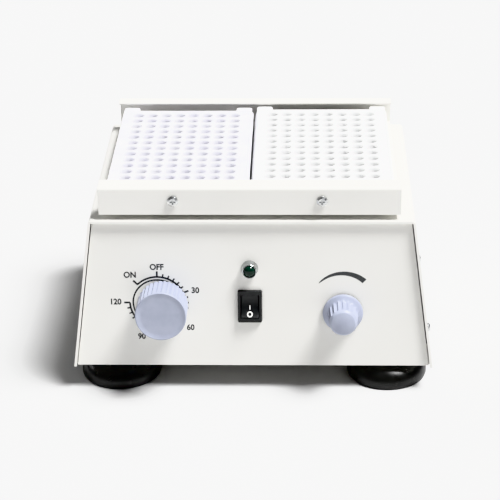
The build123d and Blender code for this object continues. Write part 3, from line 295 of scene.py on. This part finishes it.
# The right-hand plate is of a whiter batch of the same polystyrene
whitePolystyrene, tree, shader, coords = newMaterial("whitePolystyrene", "#f7f7f7", 0.16, IOR=1.59, **scattering)
speckle(tree, shader, coords, 14, "#fafafa", "#f6f6f6")
relief(tree, shader, coords, 2.4, 0.02)

# Black rubber of the suction feet: compression moulded and glossy, greyer where it is scuffed
footRubber, tree, shader, coords = newMaterial("footRubber", "#131312", 0.3, IOR=1.52)
speckle(tree, shader, coords, 5, "#181817", "#0f0f0e")
wander(tree, shader, coords, 6, 0.24, 0.42)
relief(tree, shader, coords, 1.6, 0.02)

# Satin ABS of the knobs: grey-blue, with a fine spark-eroded grain of about 0.5 mm
knobPlastic, tree, shader, coords = newMaterial("knobPlastic", "#a3a8ba", 0.36, IOR=1.53)
speckle(tree, shader, coords, 7, "#a7acbd", "#9fa4b6")
wander(tree, shader, coords, 3, 0.3, 0.42)
relief(tree, shader, coords, 0.5, 0.008)

# Black nylon of the switch and the inlet: moulded, half matt
switchNylon, tree, shader, coords = newMaterial("switchNylon", "#1a1b1c", 0.4, IOR=1.53)
speckle(tree, shader, coords, 4, "#1f2021", "#161718")
relief(tree, shader, coords, 0.5, 0.006, edge=0.25)

# Zinc-plated steel: bright with a slightly blue cast and a cloudy passivation
zincPlate, tree, shader, coords = newMaterial("zincPlate", "#c3c4c4", 0.28, Metallic=1.0)
speckle(tree, shader, coords, 3, "#cdcecd", "#b4b6b8")
wander(tree, shader, coords, 2, 0.2, 0.38)
relief(tree, shader, coords, 0.7, 0.006, edge=0.15)

# Turned steel: the fine rings of a lathe cut show as streaks across the axis
turnedSteel, tree, shader, coords = newMaterial("turnedSteel", "#a9a9a8", 0.3, Metallic=1.0)
speckle(tree, shader, coords, 1.5, "#b5b5b4", "#9a9a9a", stretch=(0.2, 0.2, 4))
wander(tree, shader, coords, 2, 0.24, 0.4)
relief(tree, shader, coords, 0.5, 0.006, edge=0.2, stretch=(0.1, 0.1, 3))

# Sintered bronze: brown-gold with open pores about 0.4 mm apart
sinteredBronze, tree, shader, coords = newMaterial("sinteredBronze", "#a88152", 0.45, Metallic=1.0)
speckle(tree, shader, coords, 0.8, "#b58e5c", "#93703f")
relief(tree, shader, coords, 0.4, 0.02)

# Drawn brass of the pins and blades: bright yellow, faintly clouded by handling
drawnBrass, tree, shader, coords = newMaterial("drawnBrass", "#cfb070", 0.25, Metallic=1.0)
speckle(tree, shader, coords, 2, "#d6b878", "#c2a05e")
relief(tree, shader, coords, 0.6, 0.005, edge=0.15)

# Machined aluminium: pale, with milling streaks along the plate
milledAluminium, tree, shader, coords = newMaterial("milledAluminium", "#c6c7c6", 0.35, Metallic=1.0)
speckle(tree, shader, coords, 1.2, "#cfcfce", "#b9bab9", stretch=(0.15, 3, 1))
relief(tree, shader, coords, 0.6, 0.008, edge=0.3, stretch=(0.1, 3, 1))

# Transformer iron: varnished dark, its stacked laminations a ridge each millimetre
laminatedIron, tree, shader, coords = newMaterial("laminatedIron", "#3c3b3a", 0.4, Metallic=0.8)
bands(tree, shader, coords, 320.0, 0.1, "Y")
speckle(tree, shader, coords, 3, "#444341", "#333231")

# Enamelled copper under amber tape: the turns show as ridges 1.2 mm apart
copperWinding, tree, shader, coords = newMaterial("copperWinding", "#9a5a2c", 0.32, IOR=1.5)
bands(tree, shader, coords, 260.0, 0.15, "Z")
speckle(tree, shader, coords, 4, "#a4622f", "#8a4f26")

# Grey phenolic case of the timer: moulded, dull
phenolicCase, tree, shader, coords = newMaterial("phenolicCase", "#a39e90", 0.55, IOR=1.55)
speckle(tree, shader, coords, 2, "#a9a496", "#98937f")
relief(tree, shader, coords, 0.8, 0.02, edge=0.3)

# Bright chrome of the lamp's collar: mirrors the panel, over a barely uneven plating
chromePlate, tree, shader, coords = newMaterial("chromePlate", "#b6b9b9", 0.14, Metallic=1.0)
speckle(tree, shader, coords, 2, "#bcbfbf", "#aeb1b1")
relief(tree, shader, coords, 1.2, 0.004)

# Dark green acrylic of the unlit lamp: glossy, and a little light goes through it
greenAcrylic, tree, shader, coords = newMaterial(
    "greenAcrylic", "#07251a", 0.08, IOR=1.49, **{"Transmission Weight": 0.2})
speckle(tree, shader, coords, 2, "#0a2e20", "#051c13")
relief(tree, shader, coords, 1.5, 0.004)

# Green solder resist over glass-fibre board: the tracks just raised
solderResist, tree, shader, coords = newMaterial("solderResist", "#1e5a34", 0.35, IOR=1.5)
speckle(tree, shader, coords, 1.2, "#24683d", "#184a2a")
relief(tree, shader, coords, 1.5, 0.03, edge=0.2)

# Shrunk PVC sleeve of the capacitor: dark blue, with slight wrinkles
shrunkSleeve, tree, shader, coords = newMaterial("shrunkSleeve", "#1c2346", 0.3, IOR=1.52)
speckle(tree, shader, coords, 3, "#212952", "#181e3c")
relief(tree, shader, coords, 2.5, 0.02)

# Screen-printed black ink: a little glossier than the paint, not quite even
panelInk, tree, shader, coords = newMaterial("panelInk", "#15161a", 0.35, IOR=1.5)
speckle(tree, shader, coords, 0.6, "#191a1e", "#111216")

# The speed arc is printed in a softer dark grey
greyInk, tree, shader, coords = newMaterial("greyInk", "#3d3f40", 0.4, IOR=1.5)
speckle(tree, shader, coords, 0.6, "#424445", "#37393a")

# White pad-printed ink on the rocker
rockerInk, tree, shader, coords = newMaterial("rockerInk", "#e9e9e6", 0.45, IOR=1.5)
speckle(tree, shader, coords, 0.6, "#efefec", "#dfdfdc")

slotMaterials = dict(
    white_paint=powderCoat, clear_polystyrene=polystyrene, foot_rubber=footRubber, knob_plastic=knobPlastic,
    black_plastic=switchNylon, zinc_steel=zincPlate, turned_steel=turnedSteel, bronze=sinteredBronze,
    brass_contacts=drawnBrass, cast_aluminium=milledAluminium, laminated_iron=laminatedIron,
    copper_winding=copperWinding, timer_case=phenolicCase, lamp_chrome=chromePlate, green_lens=greenAcrylic,
    circuit_board=solderResist, capacitor_sleeve=shrunkSleeve,
)
for part in frame["record"]["subparts"]:
    mesh = nodes[part["node"]].data
    mesh.materials.clear()
    mesh.materials.append(slotMaterials[part["material_slot"]])
print("materials made for", len(slotMaterials), "slots")


# Microplates: a deck of 8 by 12 open wells with raised rims, inside a walled frame on a wider foot; the two stand
# side by side with a gap, each shifted a little towards the front of the tray
plate = dict(
    width=85.48, length=127.76, height=14.35, gap=2.3, lift=0.1, leftShift=-2.6, rightShift=-0.6,
    pitch=9.0, across=8, along=12, cellSteps=4, deck=13.95, rimFoot=4.12, rimTop=3.92, mouth=3.45, wellFoot=3.23,
    bottom=3.5, skin=1.2, tubeTop=4.1, tubeFoot=3.9, inset=0.6, wall=1.3, hem=0.6, notch=5.5, corner=3.2,
    tab=10.1, tabLow=1.0, tabBevel=0.5, overlap=0.05,
)


def sheetEdge(x, y, gx, gy):
    # once round a rectangle of half sizes x and y: steps at gx and gy along its sides, and a point at each corner
    return np.concatenate([
        np.stack([gx, np.full(len(gx), -y)], -1), [[x, -y]],
        np.stack([np.full(len(gy), x), gy], -1), [[x, y]],
        np.stack([gx[::-1], np.full(len(gx), y)], -1), [[-x, y]],
        np.stack([np.full(len(gy), -x), gy[::-1]], -1), [[-x, -y]]])


def wellSheet(deckZ, rings, bottomZ, halfX, halfY, bevel):
    # a flat sheet with a grid of wells: each cell's square edge shrinks to circles of (radius, height) and a centre;
    # the border goes straight out from the block of cells and over bevel's steps of (inset, height)
    steps = plate["cellSteps"]
    edge, one = np.linspace(-1, 1, steps + 1)[:-1], np.ones(steps)
    corners = ((edge, -one), (one, edge), (-edge, one), (-one, -edge))
    square = np.concatenate([np.stack(side, -1) for side in corners]) * plate["pitch"] / 2
    count = len(square)
    direction = square / np.linalg.norm(square, axis=1, keepdims=True)
    rows = [atHeight(square, deckZ)] + [atHeight(direction * r, z) for r, z in rings]
    cell = np.concatenate(rows + [[[0, 0, bottomZ]]])
    fan = fanFaces(len(rings) * count, count, len(cell) - 1)
    ring = gridFaces(len(rings) + 1, count)
    xs = (np.arange(plate["across"]) - (plate["across"] - 1) / 2) * plate["pitch"]
    ys = (np.arange(plate["along"]) - (plate["along"] - 1) / 2) * plate["pitch"]
    shift = atHeight(np.stack(np.meshgrid(xs, ys), -1).reshape(-1, 2), 0.0)
    points = (shift[:, None, :] + cell[None, :, :]).reshape(-1, 3)
    first = np.arange(len(shift))[:, None, None] * len(cell)
    faces = (ring[None] + first).reshape(-1, 4).tolist() + (fan[None] + first).reshape(-1, 3).tolist()
    bx, by = plate["pitch"] * plate["across"] / 2, plate["pitch"] * plate["along"] / 2
    gx = np.linspace(-bx, bx, plate["across"] * steps + 1)
    gy = np.linspace(-by, by, plate["along"] * steps + 1)
    outer = sheetEdge(halfX, halfY, gx, gy)
    shrink = np.array([halfX, halfY])
    border = [atHeight(sheetEdge(bx, by, gx, gy), deckZ)]
    border += [atHeight(outer * (shrink - d) / shrink, z) for d, z in bevel]
    faces += gridFaces(len(border), len(outer), len(points)).tolist()
    points = np.concatenate([points] + border)
    return points, faces, len(points) - len(outer), len(outer)


def frameLoop(outline, section):
    # a closed section of (inset, height) carried round an outline, the insets along its normals
    along = np.roll(outline, -1, 0) - np.roll(outline, 1, 0)
    normal = np.stack([along[:, 1], -along[:, 0]], -1) / np.linalg.norm(along, axis=1, keepdims=True)
    rows = [atHeight(outline - normal * d, z) for d, z in section]
    return np.concatenate(rows + [rows[0]]), gridFaces(len(rows) + 1, len(outline)).tolist()


def beveledBlock(corners, low, high, bevel, radius=1.2):
    # a block with round upright corners whose top edge draws in towards its middle over the bevel's height,
    # closed below and above by fans to its middle
    outline = roundedPath(corners, radius, 4)
    middle = outline.mean(0)
    n = len(outline)
    rows = [atHeight(outline, low)]
    for drop, draw in ((1.0, 0.0), (0.3, 0.24), (0.0, 0.4)):
        rows.append(atHeight(middle + (outline - middle) * (1 - draw * bevel / radius), high - drop * bevel))
    points = np.concatenate(rows + [[[*middle, low], [*middle, high]]])
    faces = gridFaces(len(rows), n).tolist()
    faces += fanFaces(0, n, len(rows) * n).tolist() + fanFaces((len(rows) - 1) * n, n, len(rows) * n + 1).tolist()
    return points, faces


def makePlate(name, node, body, x, y, material):
    # an upper sheet of wells and a lower one of tubes, joined round the wall's hem; a foot, a skirt and four tabs
    p = plate
    halfX, halfY = p["width"] / 2 - p["inset"], p["length"] / 2 - p["inset"] - p["notch"]
    deck, top, under, bottom = p["deck"], p["height"], p["deck"] - p["skin"], p["bottom"] - p["skin"]
    wells = [(p["rimFoot"], deck), (p["rimTop"], top), (p["mouth"], top), (p["wellFoot"], p["bottom"])]
    wallTop = [(0.9, deck), (0.8, top - 0.05), (0.35, top - 0.05), (0.05, top - 0.35), (0.0, p["hem"])]
    high, highFaces, highFirst, count = wellSheet(deck, wells, p["bottom"], halfX, halfY, wallTop)
    tubes = [(p["tubeTop"], under), (p["tubeFoot"], bottom)]
    wallInside = [(p["wall"], under), (p["wall"], p["hem"])]
    low, lowFaces, lowFirst, _ = wellSheet(under, tubes, bottom, halfX, halfY, wallInside)
    a = np.arange(count)
    b = (a + 1) % count
    lowFirst += len(high)
    sheets, faces = joinShells([(high, highFaces), (low, lowFaces)])
    faces += np.stack([highFirst + a, highFirst + b, lowFirst + b, lowFirst + a], -1).tolist()
    footprint = rectangle(-p["width"] / 2, p["width"] / 2, -p["length"] / 2, p["length"] / 2)
    foot = roundedPath(footprint, p["corner"], 8)
    shells = [(sheets, faces), frameLoop(foot, [(0, 0.2), (0, 2.2), (0.3, 2.5), (2.2, 2.5), (2.2, 0.0), (0.2, 0.0)])]
    # the skirt's outer wall, up to the step that a lid would rest on
    shells.append(frameLoop(foot, [(-0.35, 1.9), (-0.35, 10.9), (-0.1, 11.2), (1.6, 11.2), (1.6, 1.9)]))
    for sx in (-1, 1):
        for sy in (-1, 1):
            xs = sorted((sx * (halfX - p["tab"]), sx * halfX))
            ys = sorted((sy * (halfY - p["overlap"]), sy * (halfY + p["notch"])))
            shells.append(beveledBlock(rectangle(*xs, *ys), p["tabLow"], top - p["overlap"], p["tabBevel"]))
    points, faces = joinShells(shells)
    points = points + [x, y, trayPlace["floorZ"] + p["lift"]]
    piece = addPiece(name, points, faces, material, body, smooth=35)
    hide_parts(node)


halfStep = (plate["width"] + plate["gap"]) / 2
makePlate("leftMicroplate", "microplate_left", "left_plate", trayPlace["x"] - halfStep,
          trayPlace["y"] + plate["leftShift"], polystyrene)
makePlate("rightMicroplate", "microplate_right", "right_plate", trayPlace["x"] + halfStep,
          trayPlace["y"] + plate["rightShift"], whitePolystyrene)
print("microplates made")


# Timer knob: a fluted cap with a smooth rim and a flat face
timer = dict(across=-54.4, down=53.9, radius=15.4, top=21.0, wall=2.0, flutes=32, steps=400)
r, top = timer["radius"], timer["top"]
inside = r - timer["wall"]
profile = [(0, top - 3.0), (6.0, top - 3.0), (inside, top - 3.2), (inside, 1.0), (r - 0.9, 1.0), (r - 0.3, 1.25),
           (r, 1.8), (r, 8), (r, 14), (r, top - 1.4), (r, top - 1.1),
           (r + 0.05, top - 0.9), (r + 0.05, top - 0.35), (r - 0.1, top - 0.1), (r - 0.35, top), (r - 0.7, top),
           (r - 0.9, top - 0.12), (r - 4, top - 0.15), (0, top - 0.15)]
deep = [0] * 5 + [0.6, 1.2, 1.2, 1.2, 1.1, 0.35] + [0] * 8
points, faces = turned(profile, timer["steps"], timer["flutes"], deep)
points = placed(points, *panelFrame(timer["across"], timer["down"]))
piece = addPiece("timerKnob", points, faces, knobPlastic, "timer_control", 50)
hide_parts("timer_knob")

# Speed knob: a round skirt that sweeps up into a grip with broad flutes and a sloping rim
speed = dict(across=55.2, down=59.8, top=17.5, flutes=18, steps=288)
top = speed["top"]
profile = [(0, 6.0), (6.4, 6.0), (6.4, 1.0), (11.7, 1.0), (12.2, 1.2), (12.3, 1.7), (12.1, 2.2), (11.3, 2.6),
           (10.2, 3.0), (9.4, 3.4), (9.05, 3.9), (8.95, 4.6), (8.85, 8.0), (8.7, 12.0), (8.6, top - 3.0),
           (8.55, top - 2.6), (8.5, top - 2.3), (8.45, top - 1.9), (8.3, top - 1.5), (7.7, top - 0.7),
           (7.3, top - 0.2), (6.9, top), (0, top)]
deep = [0] * 10 + [0.5, 1.0, 1.2, 1.2, 1.2, 1.0, 0.45] + [0] * 6
points, faces = turned(profile, speed["steps"], speed["flutes"], deep, hollow=True)
points = placed(points, *panelFrame(speed["across"], speed["down"]))
piece = addPiece("speedKnob", points, faces, knobPlastic, "speed_control", 50)
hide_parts("speed_knob")
print("knobs made")


# Suction feet: a soft disc with a rolled edge, a ring round its shoulder and a hollow underneath
foot = dict(x=83.6, y=60.5, steps=96)
profile = [(0, 3.2), (8, 3.0), (15, 2.0), (20, 0.7), (21.8, 0.0), (23.6, 0.0), (24.6, 0.5), (25.0, 1.6), (25.0, 3.0),
           (24.8, 4.6), (24.2, 6.6), (23.2, 8.4), (21.6, 10.2), (19.6, 11.6), (18.8, 12.0), (18.2, 12.9),
           (16.4, 14.4), (13.6, 15.5), (10.5, 16.0), (3.2, 16.0), (3.2, 9.0), (0, 9.0)]
points, faces = turned(profile, foot["steps"])
for name, sx, sy in (("front_left", -1, -1), ("front_right", 1, -1), ("back_left", -1, 1), ("back_right", 1, 1)):
    at = [sx * foot["x"], shell["middleY"] + sy * foot["y"], 0]
    piece = addPiece("foot_" + name + "_rubber", points + at, faces, footRubber, "base", 30)
    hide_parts("foot_" + name)
print("feet made")


# Indicator lamp: a plated collar round a domed lens, whose dome is a quarter ellipse turned round
lamp = dict(across=-1.4, down=31.1)
lens = dict(radius=3.38, shoulder=4.9, dome=2.0)
profile = [(4.0, -10.0), (4.0, 0.0), (5.15, 0.0), (5.25, 0.2), (5.2, 0.7), (4.95, 1.2), (4.6, 3.4), (4.5, 4.9),
           (4.35, 5.3), (4.1, 5.45), (3.75, 5.35), (3.45, 5.0), (3.42, 4.5), (3.42, -1.5), (3.0, -10.0),
           (4.0, -10.0)]
points, faces = turned(profile, 64)
piece = addPiece("lampCollar", placed(points, *panelFrame(**lamp)), faces, chromePlate, "base", 40)
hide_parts("lamp_bezel")
t = np.linspace(0, np.pi / 2, 9)[:-1]
dome = np.stack([lens["radius"] * np.cos(t), lens["shoulder"] + lens["dome"] * np.sin(t)], -1).tolist()
profile = [(0, -1.0), (3.3, -1.0), (lens["radius"], -0.8)] + dome + [(0, lens["shoulder"] + lens["dome"])]
points, faces = turned(profile, 48)
piece = addPiece("lampLens", placed(points, *panelFrame(**lamp)), faces, greenAcrylic, "base", 50)
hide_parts("lamp_lens")


# Rocker: a hollow-faced key on a round belly, its upper end pressed in, marked with a bar and a ring
rockerKey = dict(
    across=-1.4, down=55.7, pivot=0.5, width=10.8, swing=15.0, half=7.1, faceHalf=7.05, face=0.3, end=2.1,
    radius=7.4, bellyHalf=6.76, belly=3.0, bevel=0.4,
)


def rockerFace(v):
    # height of the hollow face above the pivot at v along it: a parabola between its middle and its ends
    return rockerKey["face"] + (rockerKey["end"] - rockerKey["face"]) * (v / rockerKey["half"]) ** 2


def rockerFrame():
    # the key's own directions: up along it and out of it, leaning back by the pressed angle
    origin, right, up, outward = panelFrame(rockerKey["across"], rockerKey["down"], rockerKey["pivot"])
    a = np.radians(rockerKey["swing"])
    return origin, right, up * np.cos(a) - outward * np.sin(a), outward * np.cos(a) + up * np.sin(a)


v = np.linspace(-rockerKey["faceHalf"], rockerKey["faceHalf"], 25)
start = np.arctan2(rockerKey["end"], rockerKey["half"])
stop = np.arctan2(-rockerKey["belly"], rockerKey["bellyHalf"])
t = np.linspace(start, stop, 8)[1:]
side = rockerKey["radius"] * np.stack([np.cos(t), np.sin(t)], -1)
section = np.concatenate([np.stack([v, rockerFace(v)], -1), side, (side * [-1, 1])[::-1]])
w = rockerKey["width"] / 2
points, faces = prism(section, -w, w, lambda outline, s: np.column_stack([np.full(len(outline), s), outline]))
piece = addPiece("rockerKey", placed(points, *rockerFrame()), faces, switchNylon, "switch_rocker", 35)
addModifier(piece, "BEVEL", width=rockerKey["bevel"] / metre, segments=3, limit_method="ANGLE",
            angle_limit=np.radians(40))
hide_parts("rocker")


# Prints: flat marks a few hundredths of a millimetre thick
ink = dict(thick=0.05, sunk=0.03, bold=0.03, narrow=0.92)


def flatMark(name, outline, holder, material):
    # a closed outline of (x, y) given the ink's thickness, on a plane that holder names by origin and directions
    points, faces = prism(outline, 0.0, ink["thick"])
    return addPiece(name, placed(points, *holder), faces, material, "base", smooth=0)


def arcBand(radius, half, start, stop, steps=48):
    # a band round a centre: its half width grows from half[0] to half[1] with the 0.6th power of the way along it,
    # and its angles run clockwise from the top in degrees
    a = np.radians(np.linspace(start, stop, steps))
    wide = half[0] + (half[1] - half[0]) * np.linspace(0, 1, steps) ** 0.6
    ring = np.stack([np.sin(a), np.cos(a)], -1)
    return np.concatenate([ring * (radius + wide)[:, None], (ring * (radius - wide)[:, None])[::-1]])


def bar(angle, inner, outer, half):
    # a short radial stroke between two radii at an angle clockwise from the top, half its width to each side
    a = np.radians(angle)
    out, side = np.array([np.sin(a), np.cos(a)]), np.array([np.cos(a), -np.sin(a)]) * half
    return np.array([out * inner - side, out * outer - side, out * outer + side, out * inner + side])


def printedText(name, text, across, down, height):
    # lettering made a mesh, scaled to its height and centred on its place on the panel
    curve = bpy.data.curves.new(name, "FONT")
    curve.body, curve.size, curve.offset, curve.extrude, curve.resolution_u = text, 1.0, ink["bold"], 0.01, 4
    temporary = addObject(name, curve)
    bpy.context.view_layer.update()
    mesh = bpy.data.meshes.new_from_object(temporary)
    flat = np.empty(len(mesh.vertices) * 3, np.float32)
    mesh.vertices.foreach_get("co", flat)
    flat = flat.reshape(-1, 3).astype(float)
    faces = [list(p.vertices) for p in mesh.polygons]
    bpy.data.objects.remove(temporary)
    low, high = flat.min(0), flat.max(0)
    scale = height / (high[1] - low[1])
    points = (flat - (low + high) / 2) * [ink["narrow"] * scale, scale, 0]
    points[:, 2] = np.where(flat[:, 2] > 0, ink["thick"], 0.0)
    return addPiece(name, placed(points, *panelFrame(across, down)), faces, panelInk, "base", smooth=0)


# The timer's dial: an arc with ticks, a thin ring inside it, and generic words and minutes round it
dial = dict(across=-57.7, down=53.6, radius=16.9, line=0.55, inner=14.95, ring=0.48, start=-45, stop=270, step=11.25,
            ticks=25, longEvery=6, longTick=3.6, longHalf=0.55, shortTick=2.1, shortHalf=0.45, letters=4.0)
holder = panelFrame(dial["across"], dial["down"])
r = dial["radius"]
flatMark("dialArc", arcBand(r, (dial["line"],) * 2, dial["start"], dial["stop"], 120), holder, panelInk)
ring = [circle(dial["inner"] + side * dial["ring"], 96) for side in (1, -1)]
points, faces = hoop(*ring, 0.0, ink["thick"])
addPiece("dialRing", placed(points, *holder), faces, panelInk, "base", smooth=0)
for k in range(dial["ticks"]):
    kind = "short" if k % dial["longEvery"] else "long"
    outline = bar(k * dial["step"], r, r + dial[kind + "Tick"], dial[kind + "Half"])
    flatMark(f"dialTick{k}", outline, holder, panelInk)
flatMark("dialTickOn", bar(dial["start"], r - 0.3, r + dial["longTick"], dial["longHalf"]), holder, panelInk)
words = (("OFF", -57.7, 30.2), ("ON", -74.2, 35.3), ("30", -34.5, 45.4), ("60", -37.9, 70.0), ("90", -68.1, 76.1),
         ("120", -83.1, 53.0))
for text, across, down in words:
    printedText("dialText" + text, text, across, down, dial["letters"])

# Speed arc: a swelling stroke whose centre line is the circle through three measured points
ends = np.array([(40.5, -40.7), (54.1, -34.3), (68.1, -39.4)])
cx, cy, k = np.linalg.solve(np.column_stack([2 * ends, np.ones(3)]), (ends ** 2).sum(1))
radius = np.sqrt(k + cx ** 2 + cy ** 2)
angles = np.degrees(np.arctan2(ends[:, 0] - cx, ends[:, 1] - cy))
flatMark("speedArc", arcBand(radius, (0.12, 1.7), angles[0], angles[2]), panelFrame(cx, -cy), greyInk)


def onFace(outline, out):
    # points (x, y) lifted by so much above the key's hollow face
    return np.column_stack([outline, rockerFace(outline[:, 1]) + out])


def onKey(name, points, faces):
    # a mark that rides the key
    addPiece(name, placed(points, *rockerFrame()), faces, rockerInk, "switch_rocker", smooth=0)


# The rocker's bar and ring: they follow its hollow face and reach a little into it
stroke = np.array([(-0.3, -1.3), (0.3, -1.3), (0.3, 0.0), (0.3, 1.3), (-0.3, 1.3), (-0.3, 0.0)]) + [0.0, -0.7]
onKey("rockerBar", *prism(stroke, -ink["sunk"], ink["thick"], onFace))
ring = [circle(radius) + [0.0, -4.85] for radius in (1.75, 1.05)]
onKey("rockerRing", *hoop(*ring, -ink["sunk"], ink["thick"], onFace))
print("prints made")


# Stage, in metres: a plain pale floor, a broad sun from above and a little to the right, a dim light from behind on
# the left, and the photograph's camera
stage = dict(half=12.0, world=0.15)
floorPaint, tree, shader, coords = newMaterial("floorPaint", "#c0c0c0", 0.9)
speckle(tree, shader, coords, 400, "#c1c1c1", "#bfbfbf")
h = stage["half"]
mesh = bpy.data.meshes.new("floor")
mesh.from_pydata([(-h, -h, 0), (h, -h, 0), (h, h, 0), (-h, h, 0)], [], [(0, 1, 2, 3)])
mesh.materials.append(floorPaint)
addObject("floor", mesh)

world = bpy.data.worlds.new("studio")
bpy.context.scene.world = world
world.use_nodes = True
world.node_tree.nodes["Background"].inputs["Color"].default_value = (1, 1, 1, 1)
world.node_tree.nodes["Background"].inputs["Strength"].default_value = stage["world"]


def aimed(item, right, up, back, place):
    # turns an object so that its own x, y and z lie along the three unit directions, and puts it in its place
    item.matrix_world = Matrix([[right[i], up[i], back[i], place[i]] for i in range(3)] + [[0, 0, 0, 1]])


def addLight(name, kind, place, aim, **settings):
    # a light at place that points at aim
    light = bpy.data.lights.new(name, kind)
    for key, value in settings.items():
        setattr(light, key, value)
    back = np.array(place, float) - np.array(aim, float)
    back /= np.linalg.norm(back)
    right = np.cross([0, 0, 1], back)
    right /= np.linalg.norm(right)
    aimed(addObject(name, light), right, np.cross(back, right), back, place)


addLight("topLight", "SUN", place=(1.75, -0.32, 3.8), aim=(0.0, 0.0, 0.1), energy=8.4, angle=np.radians(26.0))
addLight("backLight", "AREA", place=(-3.6, 1.3, 2.6), aim=(-0.3, 0.0, 0.0), energy=45.0, shape="DISK", size=2.8)

# The fitted camera: focal length in pixels of a 500 pixel picture, angles in degrees, lengths in mm
shot = dict(focal=1702.8, picture=500, sensor=36.0, pitch=26.6, yaw=-1.9, roll=-0.8,
            target=(-3.5, 8.024, 54.5), distance=1109.1)
pitch, yaw, roll = np.radians([shot["pitch"], shot["yaw"], shot["roll"]])
ahead = np.array([np.sin(yaw) * np.cos(pitch), np.cos(yaw) * np.cos(pitch), -np.sin(pitch)])
right = np.array([np.cos(yaw), -np.sin(yaw), 0.0])
up = np.cross(right, ahead)
right, up = right * np.cos(roll) + up * np.sin(roll), up * np.cos(roll) - right * np.sin(roll)
cameraData = bpy.data.cameras.new("camera")
cameraData.sensor_width, cameraData.lens = shot["sensor"], shot["sensor"] * shot["focal"] / shot["picture"]
cameraData.clip_start, cameraData.clip_end = 0.05, 50.0
camera = addObject("camera", cameraData)
aimed(camera, right, up, -ahead, (np.array(shot["target"]) - ahead * shot["distance"]) / metre)
bpy.context.scene.camera = camera
bpy.context.scene.view_settings.view_transform = "Khronos PBR Neutral"
print("stage and camera made")
